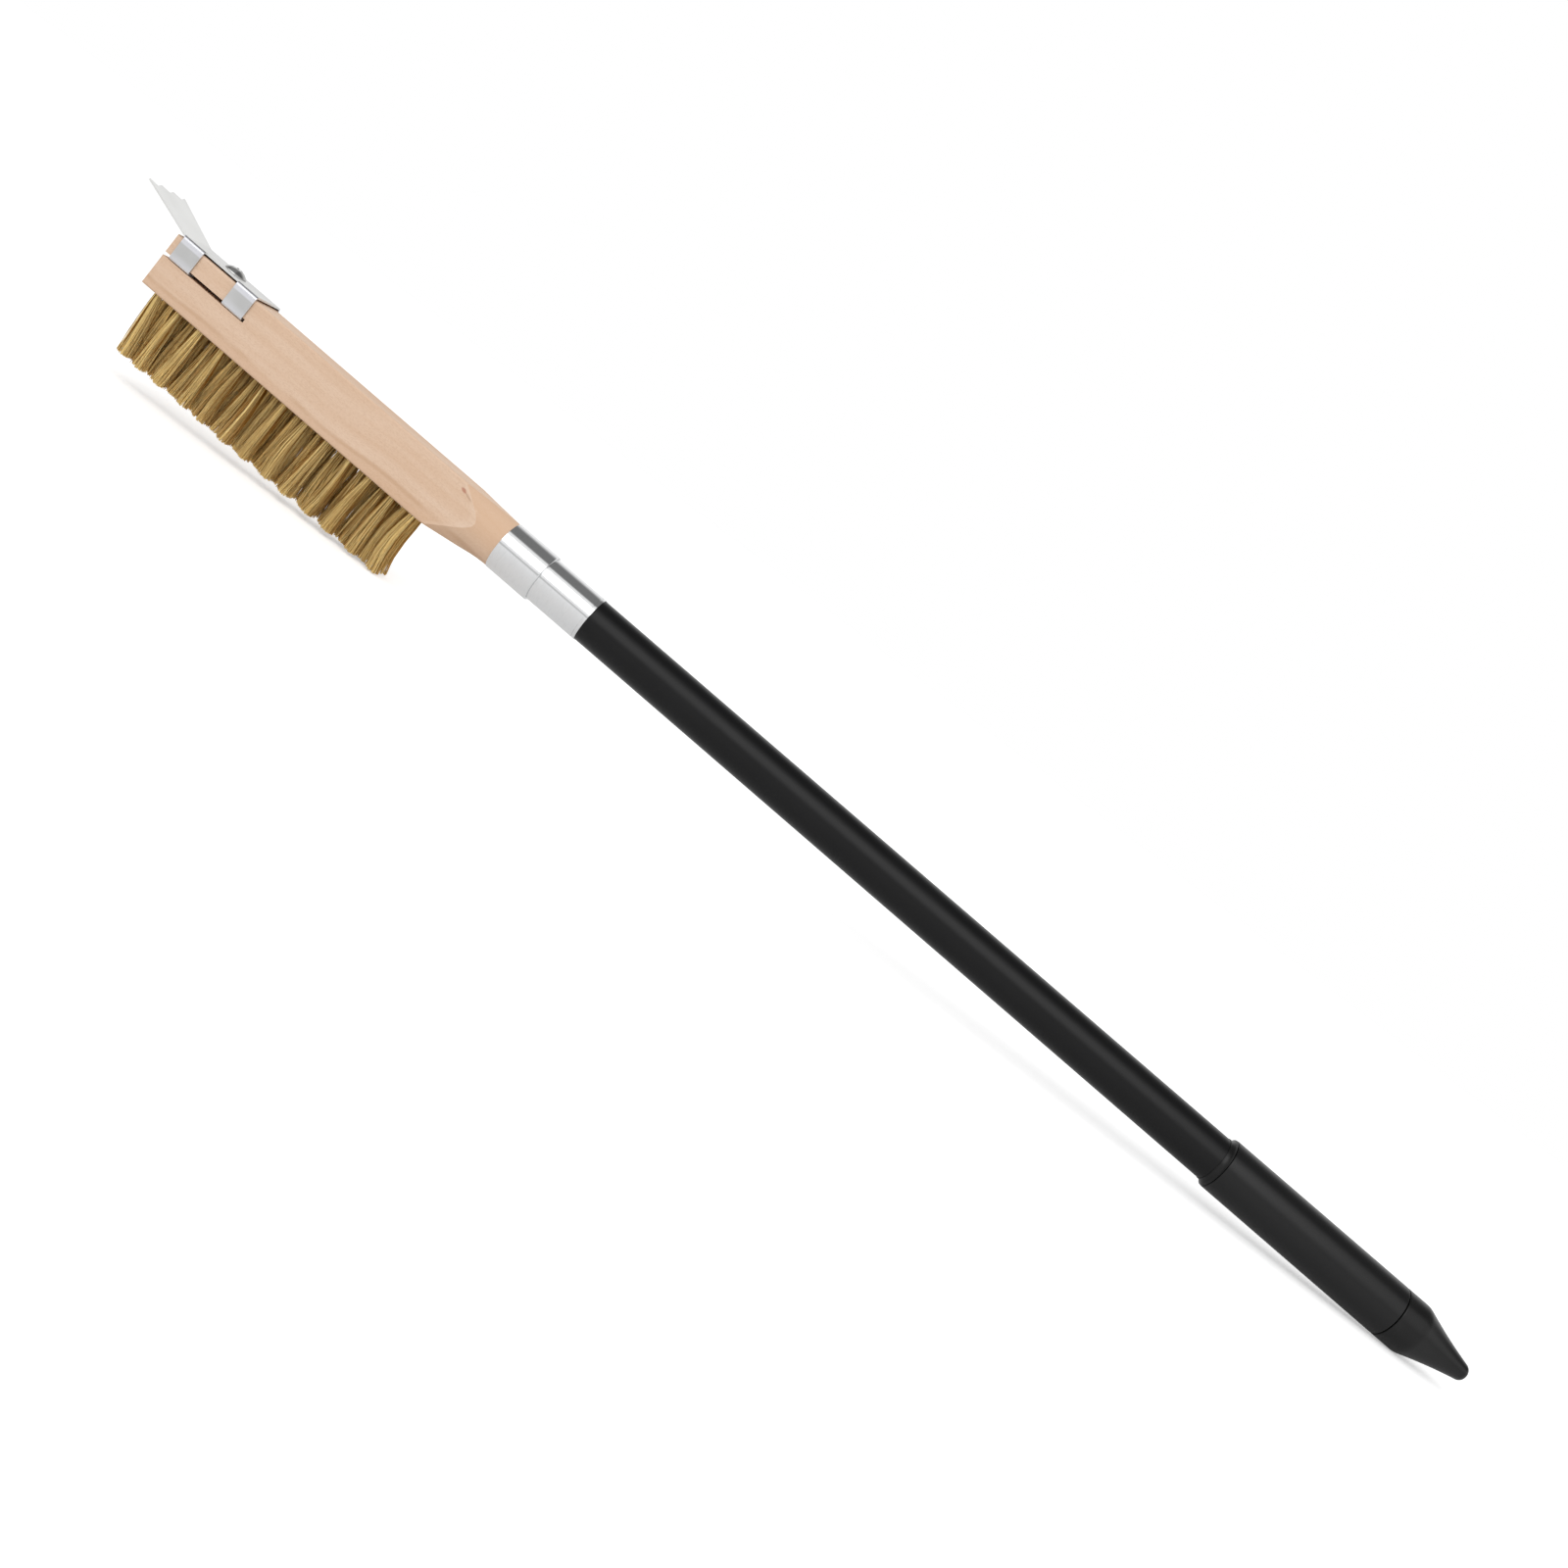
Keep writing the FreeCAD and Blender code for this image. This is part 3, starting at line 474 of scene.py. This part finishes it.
coat = {
    "colour": (0.0045, 0.0045, 0.0048),
    "dust": (0.0085, 0.0085, 0.009),
    "cloud": ((0.024, 0.08, 0.08), 3.0),
    "dustTint": (0.45, 0.9, 0.4),
    "peel": (1.1, 2.0),
    "peelDepth": 0.000012,
    "roughness": (0.27, 0.10),
}


def coatNodes(g):
    place = g.brushPlace()
    cloud = g.noise(place, *coat["cloud"])
    rough, byCloud = coat["roughness"]
    return {
        "Base Color": g.tint(coat["colour"], coat["dust"], cloud, *coat["dustTint"]),
        "Roughness": rough + cloud * byCloud,
        "Normal": g.bump(g.noise(place, *coat["peel"]), coat["peelDepth"]),
    }


moulding = {
    "colour": (0.0045, 0.0045, 0.0045),
    "worn": (0.012, 0.012, 0.012),
    "cloud": (0.12, 3.0),
    "wornTint": (0.5, 0.85, 0.4),
    "grain": (3.2, 2.0, 0.6),
    "grainDepth": 0.000007,
    "roughness": (0.26, 0.08),
}


def mouldingNodes(g):
    place = g.brushPlace()
    grain = g.noise(place, *moulding["grain"])
    cloud = g.noise(place, *moulding["cloud"])
    rough, byGrain = moulding["roughness"]
    return {
        "Base Color": g.tint(moulding["colour"], moulding["worn"], cloud, *moulding["wornTint"]),
        "Roughness": rough + grain * byGrain,
        "Normal": g.bump(grain, moulding["grainDepth"]),
    }


sleeve = {
    "colour": (0.0052, 0.0052, 0.0055),
    "scuff": (0.026, 0.026, 0.028),
    "lint": ((0.55, 1.4, 1.4), 4.0, 0.7),
    "lintTint": (0.62, 0.74, 0.35),
    "grain": (2.6, 3.0, 0.7),
    "grainDepth": 0.00001,
    "roughness": (0.27, 0.08),
}


def sleeveNodes(g):
    place = g.brushPlace()
    grain = g.noise(place, *sleeve["grain"])
    lint = g.noise(place, *sleeve["lint"])
    rough, byGrain = sleeve["roughness"]
    return {
        "Base Color": g.tint(sleeve["colour"], sleeve["scuff"], lint, *sleeve["lintTint"]),
        "Roughness": rough + grain * byGrain,
        "Normal": g.bump(grain, sleeve["grainDepth"]),
    }


metal = {"Metallic": 1.0}
materials = {
    "beech": newMaterial("beech", {"Specular IOR Level": 0.35}, beechNodes),
    "brassWire": newMaterial("brassWire", {**metal, "Specular Tint": brass["edgeTint"]},
                             brassNodes),
    "scraperSteel": newMaterial("scraperSteel", metal, steelNodes),
    "screwSteel": newMaterial("screwSteel", metal, screwNodes),
    "turnedAluminium": newMaterial("turnedAluminium", metal, aluminiumNodes),
    "blackCoat": newMaterial("blackCoat", {"Specular IOR Level": 0.24}, coatNodes),
    "blackMoulding": newMaterial("blackMoulding", {"Specular IOR Level": 0.32}, mouldingNodes),
    "blackSleeve": newMaterial("blackSleeve", {"Specular IOR Level": 0.34}, sleeveNodes),
}

finishes = {
    "wooden_head": "beech",
    "anchor_row_1": "scraperSteel",
    "anchor_row_2": "scraperSteel",
    "anchor_row_3": "scraperSteel",
    "anchor_row_4": "scraperSteel",
    "scraper": "scraperSteel",
    "scraper_screw": "screwSteel",
    "head_ferrule": "turnedAluminium",
    "handle_coupling": "turnedAluminium",
    "handle_tube": "blackCoat",
    "grip_collar": "blackMoulding",
    "grip_sleeve": "blackSleeve",
    "end_cap": "blackMoulding",
}
for node, finish in finishes.items():
    slots = frame["nodes"][node].data.materials
    slots.clear()
    slots.append(materials[finish])
print("materials made:", len(materials))

wireTufts = {
    "wiresPerTuft": 150,
    "wireRadius": 0.00016,
    "inWood": 0.004,           # how far up its hole a wire starts
    "rootRadius": 0.00204,
    "tipRadius": 0.0042,
    # under 1 a tuft opens out near the wood, over 1 near its tips; one value for each row.
    # The rows behind fill the gaps in front.
    "fanning": (0.85, 0.80, 0.40, 0.40),
    "clump": 0.78,             # how much the tips gather into strands, and the roots
    "rootClump": 0.56,
    "strandSize": 0.44,
    "stray": 0.00030,          # random tip offset
    "farStray": (6.0, 4.0),    # how rare it is that a wire strays further, and how much further
    "dome": 0.0011,            # how much shorter the outer wires are
    "uneven": 0.0007,          # random shortening of the tips
    "unevenPower": 2.0,        # over 1, only a few are shortened by much
    "bow": 0.0007,
    "steps": 4,
    "sides": 5,
    "seed": 11,
    "rowNumbers": 20,          # tufts are numbered on from this many times their row
    # the wires' seats: the turn from one to the next, its chance, and the turn from tuft to tuft
    "seatTurn": 2.399963,
    "turnChance": 0.35,
    "tuftTurn": 1.7,
    "tuftCells": 3.1,          # how far apart two tufts' strand patterns are taken
    # a wire's tone and painted shade: plain, what the wire, its strand and its tuft add at random,
    # and the painted shade of its place on the tuft's flanks, between the tufts
    "shade": (0.26, 0.24, 0.78, 0.06, -0.78),
    # whole tufts: how far their tips and their middles may wander, and how far the last ones curl
    "tipWander": (0.0015, 0.0007),
    "middleWander": 0.0011,
    "endCurl": 0.0021,
    "endLean": 0.0021,         # how much less the last ones lean
    "level": 0.0002,           # corners this close to a height belong to it
    "apart": 0.003,            # a gap along the handle that tells two tufts apart
}


# where each tuft leaves the wood and where its tips end, from the solids of one row
def tuftEnds(node):
    points = corners(node)
    mouth = spread(corners("wooden_head"), upward)[0]
    low = spread(points, upward)[0]
    return list(zip(*(ringMiddles([p for p in points if isLevel(p, height)])
                      for height in (mouth, low))))


def isLevel(point, height):
    return abs((point - gripPoint).dot(upward) - height) < wireTufts["level"]


# the middles of rings of points, the rings told apart by the gaps between them along the handle
def ringMiddles(points):
    ordered = sorted(points, key=lambda p: p.dot(along))
    rings = [[ordered[0]]]
    for point in ordered[1:]:
        if (point - rings[-1][-1]).dot(along) > wireTufts["apart"]:
            rings.append([])
        rings[-1].append(point)
    return [boxMiddle(ring) for ring in rings]


def boxMiddle(points):
    middle = Vector()
    for direction in (along, across, upward):
        reached = [p.dot(direction) for p in points]
        middle += direction * (min(reached) + max(reached)) / 2
    return middle


# the random draws of the wires' tree, each with its own seed
wireDraws = ("turn", "strayAlong", "strayAcross", "uneven", "bowAlong", "bowAcross", "wireTone",
             "farStray", "tuftTone")


def wireTree():
    tree = bpy.data.node_groups.new("tuftWires", "GeometryNodeTree")
    for name, kind, value in (
        ("Roots", "Geometry", None),
        ("Wires", "Int", wireTufts["wiresPerTuft"]),
        ("Wire radius", "Float", wireTufts["wireRadius"]),
        ("Start in wood", "Float", wireTufts["inWood"]),
        ("Root radius", "Float", wireTufts["rootRadius"]),
        ("Tip radius", "Float", wireTufts["tipRadius"]),
        ("Fanning", "Float", wireTufts["fanning"][0]),
        ("Clump", "Float", wireTufts["clump"]),
        ("Root clump", "Float", wireTufts["rootClump"]),
        ("Strand size", "Float", wireTufts["strandSize"]),
        ("Stray", "Float", wireTufts["stray"]),
        ("Dome", "Float", wireTufts["dome"]),
        ("Uneven", "Float", wireTufts["uneven"]),
        ("Bow", "Float", wireTufts["bow"]),
        ("Steps", "Int", wireTufts["steps"]),
        ("Sides", "Int", wireTufts["sides"]),
        ("Seed", "Int", wireTufts["seed"]),
        ("Wire finish", "Material", None),
    ):
        socket = tree.interface.new_socket(name, in_out="INPUT", socket_type=f"NodeSocket{kind}")
        if value is not None:
            socket.default_value = value
    tree.interface.new_socket("Wires made", in_out="OUTPUT", socket_type="NodeSocketGeometry")
    g = Graph(tree)
    inputs = {s.name: Wire(g, s) for s in tree.nodes.new("NodeGroupInput").outputs if s.name}

    def named(name, kind):
        return g.node("GeometryNodeInputNamedAttribute", {"data_type": kind},
                      {"Name": name}, "Attribute")

    def store(geometry, name, kind, value):
        return g.node("GeometryNodeStoreNamedAttribute", {"data_type": kind, "domain": "POINT"},
                      {"Geometry": geometry, "Name": name, "Value": value}, "Geometry")

    def chance(draw, number, low=0.0, high=1.0):
        seed = inputs["Seed"] + (wireDraws.index(draw) + 1)
        return g.node("FunctionNodeRandomValue", {"data_type": "FLOAT"},
                      {"Min": low, "Max": high, "ID": number, "Seed": seed}, "Value")

    # each tuft's root becomes as many roots as it has wires, laid like seeds in a sunflower
    points = g.node("GeometryNodeMeshToPoints", {"mode": "VERTICES"}, {"Mesh": inputs["Roots"]})
    made, count = g.node("GeometryNodeDuplicateElements", {"domain": "POINT"},
                         {"Geometry": points, "Amount": inputs["Wires"]},
                         ("Geometry", "Duplicate Index"))
    number = g.node("GeometryNodeInputIndex")
    tuft = named("tuftNumber", "FLOAT")
    toTip = named("toTip", "FLOAT_VECTOR")
    outward = g.reckon("SQRT", (count + 0.5) / inputs["Wires"])
    swing = wireTufts["turnChance"]
    turn = (count * wireTufts["seatTurn"] + tuft * wireTufts["tuftTurn"]
            + chance("turn", number, -swing, swing))
    seatX = outward * g.reckon("COSINE", turn)
    seatY = outward * g.reckon("SINE", turn)
    seat = g.vector(seatX, seatY, 0.0)
    # tips gather towards the middles of a few cells, which makes strands
    cells = g.node("ShaderNodeTexVoronoi", {"voronoi_dimensions": "4D", "feature": "F1"},
                   {"Vector": seat, "W": tuft * wireTufts["tuftCells"],
                    "Scale": 1.0 / inputs["Strand size"], "Randomness": 1.0}, "Position")
    gatheredX, gatheredY = g.parts(seat + (cells - seat) * inputs["Clump"])[:2]
    rootedX, rootedY = g.parts(seat + (cells - seat) * inputs["Root clump"])[:2]
    rootSpot = flat(g, rootedX * inputs["Root radius"], rootedY * inputs["Root radius"])
    # a few wires stray much further than the rest
    rarity, further = wireTufts["farStray"]
    stray = inputs["Stray"] * (1.0 + chance("farStray", number) ** rarity * further)
    tipX = gatheredX * inputs["Tip radius"] + chance("strayAlong", number, -1.0) * stray
    tipY = gatheredY * inputs["Tip radius"] + chance("strayAcross", number, -1.0) * stray
    unevenness = chance("uneven", number) ** wireTufts["unevenPower"] * inputs["Uneven"]
    short = outward * outward * inputs["Dome"] + unevenness
    tipSpot = flat(g, tipX, tipY) + tuple(upward) * short
    bend = flat(g, chance("bowAlong", number, -1.0) * inputs["Bow"],
                chance("bowAcross", number, -1.0) * inputs["Bow"])
    strandTone = g.node("ShaderNodeTexWhiteNoise", {"noise_dimensions": "4D"},
                        {"Vector": cells, "W": tuft}, "Value")
    plain, byWire, byStrand, byTuft, byFlankShade = wireTufts["shade"]
    # the last term is painted shade: wires on a tuft's flanks along the handle are darker, as where
    # the tufts beside it shade them
    shade = (chance("wireTone", number) * byWire + strandTone * byStrand
             + chance("tuftTone", tuft) * byTuft + seatX * seatX * byFlankShade + plain)
    made = store(made, "rootSpot", "FLOAT_VECTOR", rootSpot)
    made = store(made, "tipSpot", "FLOAT_VECTOR", tipSpot)
    made = store(made, "bend", "FLOAT_VECTOR", bend)
    made = store(made, "wireShade", "FLOAT", shade)

    # one straight wire, up the Z axis from 0 to 1, repeated at each root
    line = g.node("GeometryNodeCurvePrimitiveLine", None, {"Start": (0, 0, 0), "End": (0, 0, 1)})
    line = g.node("GeometryNodeResampleCurve", {"mode": "COUNT"},
                  {"Curve": line, "Count": inputs["Steps"] + 1})
    ring = g.node("GeometryNodeCurvePrimitiveCircle", None,
                  {"Resolution": inputs["Sides"], "Radius": inputs["Wire radius"]}, "Curve")
    wire = g.node("GeometryNodeCurveToMesh", None,
                  {"Curve": line, "Profile Curve": ring, "Fill Caps": True})
    laid = g.node("GeometryNodeInstanceOnPoints", None, {"Points": made, "Instance": wire})
    laid = g.node("GeometryNodeRealizeInstances", None, {"Geometry": laid}, "Geometry")
    # every point of the wire knows its own root, so what is left of its place is its place on
    # the wire
    root = named("tuftRoot", "FLOAT_VECTOR")
    localX, localY, share = g.parts(g.node("GeometryNodeInputPosition") - root)
    inside = inputs["Start in wood"]
    length = g.reckon("LENGTH", toTip) + inside
    below = g.reckon("MAXIMUM", share * length - inside, 0.0) / (length - inside)
    above = g.reckon("MAXIMUM", inside - share * length, 0.0)
    lean = root + toTip * below + tuple(upward) * above
    side = named("rootSpot", "FLOAT_VECTOR")
    side = side + (named("tipSpot", "FLOAT_VECTOR") - side) * below ** inputs["Fanning"]
    # a bow of the full height halfway down
    bowed = below * (1.0 - below) * 4.0
    arc = (named("bend", "FLOAT_VECTOR") + named("tuftCurl", "FLOAT_VECTOR")) * bowed
    placed = lean + side + arc + flat(g, localX, localY)
    laid = store(laid, "wireReach", "FLOAT", below)
    laid = g.node("GeometryNodeSetPosition", None, {"Geometry": laid, "Position": placed})
    laid = g.node("GeometryNodeSetShadeSmooth", None, {"Geometry": laid, "Shade Smooth": True})
    laid = g.node("GeometryNodeRealizeInstances", None, {"Geometry": laid})
    laid = g.node("GeometryNodeSetMaterial", None,
                  {"Geometry": laid, "Material": inputs["Wire finish"]})
    g.node("NodeGroupOutput", None, {0: laid})
    return tree


# a place in the plane square to the tufts: some of the handle's direction and some across it
def flat(g, forward, sideways):
    ahead = g.node("ShaderNodeVectorMath", {"operation": "SCALE"},
                   {"Vector": tuple(along), "Scale": forward})
    aside = g.node("ShaderNodeVectorMath", {"operation": "SCALE"},
                   {"Vector": tuple(across), "Scale": sideways})
    return ahead + aside


def setInputs(modifier, tree, values):
    for item in tree.interface.items_tree:
        if item.item_type == "SOCKET" and item.in_out == "INPUT" and item.name in values:
            modifier[item.identifier] = values[item.name]


def plainMesh(source, name):
    shown = source.evaluated_get(bpy.context.evaluated_depsgraph_get())
    mesh = bpy.data.meshes.new_from_object(shown)
    mesh.name = name
    bpy.data.objects.remove(source)
    return addObject(name, mesh)


def makeTufts(tree, row):
    ends = tuftEnds(f"bristle_row_{row}")
    seed = wireTufts["seed"] + row
    luck = random.Random(seed)
    forward, sideways = wireTufts["tipWander"]
    tips, curls = [], []
    for i, (root, tip) in enumerate(ends):
        wander = (along * luck.uniform(-forward, forward)
                  + across * luck.uniform(-sideways, sideways))
        curl = along * luck.uniform(-1, 1) * wireTufts["middleWander"]
        if i == len(ends) - 1:
            wander, curl = along * -wireTufts["endLean"], along * -wireTufts["endCurl"]
        tips.append(tip - root + wander)
        curls.append(curl)
    roots = [root for root, tip in ends]
    numbers = [i + wireTufts["rowNumbers"] * row for i in range(len(ends))]
    mesh = bpy.data.meshes.new(f"tuftRoots{row}")
    mesh.from_pydata(roots, [], [])
    for name, kind, field, values in (
        ("tuftRoot", "FLOAT_VECTOR", "vector", roots),
        ("toTip", "FLOAT_VECTOR", "vector", tips),
        ("tuftCurl", "FLOAT_VECTOR", "vector", curls),
        ("tuftNumber", "FLOAT", "value", numbers),
    ):
        added = mesh.attributes.new(name, kind, "POINT")
        for i, value in enumerate(values):
            setattr(added.data[i], field, value)
    source = addObject(f"tuftSource{row}", mesh)
    modifier = source.modifiers.new("wires", "NODES")
    modifier.node_group = tree
    setInputs(modifier, tree, {"Seed": seed, "Fanning": wireTufts["fanning"][row - 1],
                               "Wire finish": materials["brassWire"]})
    piece = plainMesh(source, f"wire_row_{row}")
    for name in ("tuftRoot", "toTip", "tuftCurl", "tuftNumber", "rootSpot", "tipSpot", "bend"):
        piece.data.attributes.remove(piece.data.attributes[name])
    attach(piece, "root")
    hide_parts(f"bristle_row_{row}")
    return piece


tuftTree = wireTree()
for row in (1, 2, 3, 4):
    made = makeTufts(tuftTree, row)
    print("tufts of row", row, ":", len(made.data.polygons), "faces")

camera = {
    "aim": 0.4221,             # the place along the handle at the middle of the picture
    "above": 0.00136,          # how far the picture's middle is above the handle's middle line
    "distance": 0.9086,
    "turn": 2.6,               # degrees: the grip's end is a little nearer than the head
    "elevation": 6.5,
    "roll": 40.81,             # the handle runs down to the right
    "aside": 0.040,            # how much nearer to the head it stands; the lens is shifted back
    "lens": 40.5,
    "sensor": 36.0,
    "clip": (0.05, 100),
}


def makeCamera():
    turn, rise = math.radians(camera["turn"]), math.radians(camera["elevation"])
    level = along * -math.sin(turn) + across * math.cos(turn)
    look = level * math.cos(rise) - upward * math.sin(rise)
    sideways = (along - look * along.dot(look)).normalized()
    over = sideways.cross(look)
    roll = math.radians(camera["roll"])
    right = sideways * math.cos(roll) + over * math.sin(roll)
    top = over * math.cos(roll) - sideways * math.sin(roll)
    place = (brushPoint(camera["aim"], 0, 0) - look * camera["distance"]
             + over * camera["above"] - sideways * camera["aside"])
    data = bpy.data.cameras.new("camera")
    data.lens = camera["lens"]
    data.sensor_width = camera["sensor"]
    shift = camera["aside"] / camera["distance"] * camera["lens"] / camera["sensor"]
    data.shift_x, data.shift_y = shift * math.cos(roll), -shift * math.sin(roll)
    data.clip_start, data.clip_end = camera["clip"]
    made = addObject("camera", data)
    made.matrix_world = Matrix((
        (right.x, top.x, -look.x, place.x),
        (right.y, top.y, -look.y, place.y),
        (right.z, top.z, -look.z, place.z),
        (0, 0, 0, 1),
    ))
    bpy.context.scene.camera = made


makeCamera()
bpy.context.scene.view_settings.view_transform = "Standard"
print("camera placed")

studio = {
    "skyLevel": 0.82,          # what the world gives to matt surfaces
    "ceiling": 0.20,           # what shiny surfaces see overhead
    "ceilingNear": (-23.0, -14.0),    # degrees from straight up, where it begins in front
    "ceilingFar": (25.0, 61.0),       # and where it fades out behind the brush
    "ceilingEnds": (0.80, 0.92),      # how level a sight line along the brush is where it ends
    "wallLine": 0.41,          # how much darker the thin line low on the walls is
    "wallLineAt": 6.5,         # degrees above the floor
    "wallLineWide": 5.0,
    "floorSize": 12.0,
    "floorColour": 0.80,
    "floorGlow": 0.45,         # added to what the camera sees of the floor
    "mirrorGlow": 0.06,        # added to what metal and gloss show of it
    "softboxSize": (1.9, 1.0),
    "softboxDistance": 1.6,
    "softboxHeight": 39.0,     # degrees above the object
    "softboxLevel": 1.3,       # brightness of its face
}


# 1 for what the camera sees directly, 1 for what glass shows, 1 for what gloss shows
def seenRays(g):
    return g.node("ShaderNodeLightPath", None, None,
                  ("Is Camera Ray", "Is Transmission Ray", "Is Glossy Ray"))


# a white room: matt surfaces get a little less than white, and shiny ones also see its dark
# ceiling and the line on its walls
def makeWorld():
    world = bpy.data.worlds.new("studio")
    g = emptyGraph(world)
    heading = g.node("ShaderNodeTexCoord", None, None, "Generated")
    endways, behind, height = g.parts(heading)
    # the dark ceiling is a long strip over the brush
    tilt = g.reckon("ARCTAN2", behind, height)
    near = g.between(tilt, *(math.radians(a) for a in studio["ceilingNear"]))
    far = 1.0 - g.between(tilt, *(math.radians(a) for a in studio["ceilingFar"]))
    stripEnd = 1.0 - g.between(g.reckon("ABSOLUTE", endways), *studio["ceilingEnds"])
    ceiling = near * far * stripEnd * (1.0 - studio["ceiling"])
    wide = math.radians(studio["wallLineWide"])
    fromLine = g.reckon("ABSOLUTE", height - math.sin(math.radians(studio["wallLineAt"])))
    wallLine = (1.0 - g.between(fromLine, wide / 2, wide)) * studio["wallLine"]
    direct, through, shiny = seenRays(g)
    seen = g.reckon("MINIMUM", direct + through + shiny, 1.0)
    matt = studio["skyLevel"]
    level = matt + seen * (1.0 - matt) - shiny * (ceiling + wallLine)
    sky = g.node("ShaderNodeBackground", None, {"Color": (1, 1, 1), "Strength": level})
    g.node("ShaderNodeOutputWorld", None, {"Surface": sky})
    bpy.context.scene.world = world


def makeFloor():
    half = studio["floorSize"] / 2
    mesh = bpy.data.meshes.new("floor")
    mesh.from_pydata([(-half, -half, 0), (half, -half, 0), (half, half, 0), (-half, half, 0)],
                     [], [(0, 1, 2, 3)])
    material = bpy.data.materials.new("floor")
    g = emptyGraph(material)
    matt = g.node("ShaderNodeBsdfDiffuse", None, {"Color": (studio["floorColour"],) * 3})
    direct, through, shiny = seenRays(g)
    level = direct * studio["floorGlow"] + (through + shiny) * studio["mirrorGlow"]
    glow = g.node("ShaderNodeEmission", None, {"Color": (1, 1, 1), "Strength": level})
    both = g.node("ShaderNodeAddShader", None, {0: matt, 1: glow})
    g.node("ShaderNodeOutputMaterial", None, {"Surface": both})
    mesh.materials.append(material)
    addObject("floor", mesh)


def makeSoftbox():
    wide, high = studio["softboxSize"]
    data = bpy.data.lights.new("softbox", "AREA")
    data.shape = "RECTANGLE"
    data.size, data.size_y = wide, high
    data.energy = studio["softboxLevel"] * math.pi * wide * high
    made = addObject("softbox", data)
    rise = math.radians(studio["softboxHeight"])
    away = Vector((0, -math.cos(rise), math.sin(rise)))
    made.location = brushPoint(camera["aim"], 0, 0) + away * studio["softboxDistance"]
    made.rotation_euler = (-away).to_track_quat("-Z", "Y").to_euler()


makeWorld()
makeFloor()
makeSoftbox()
print("studio made")
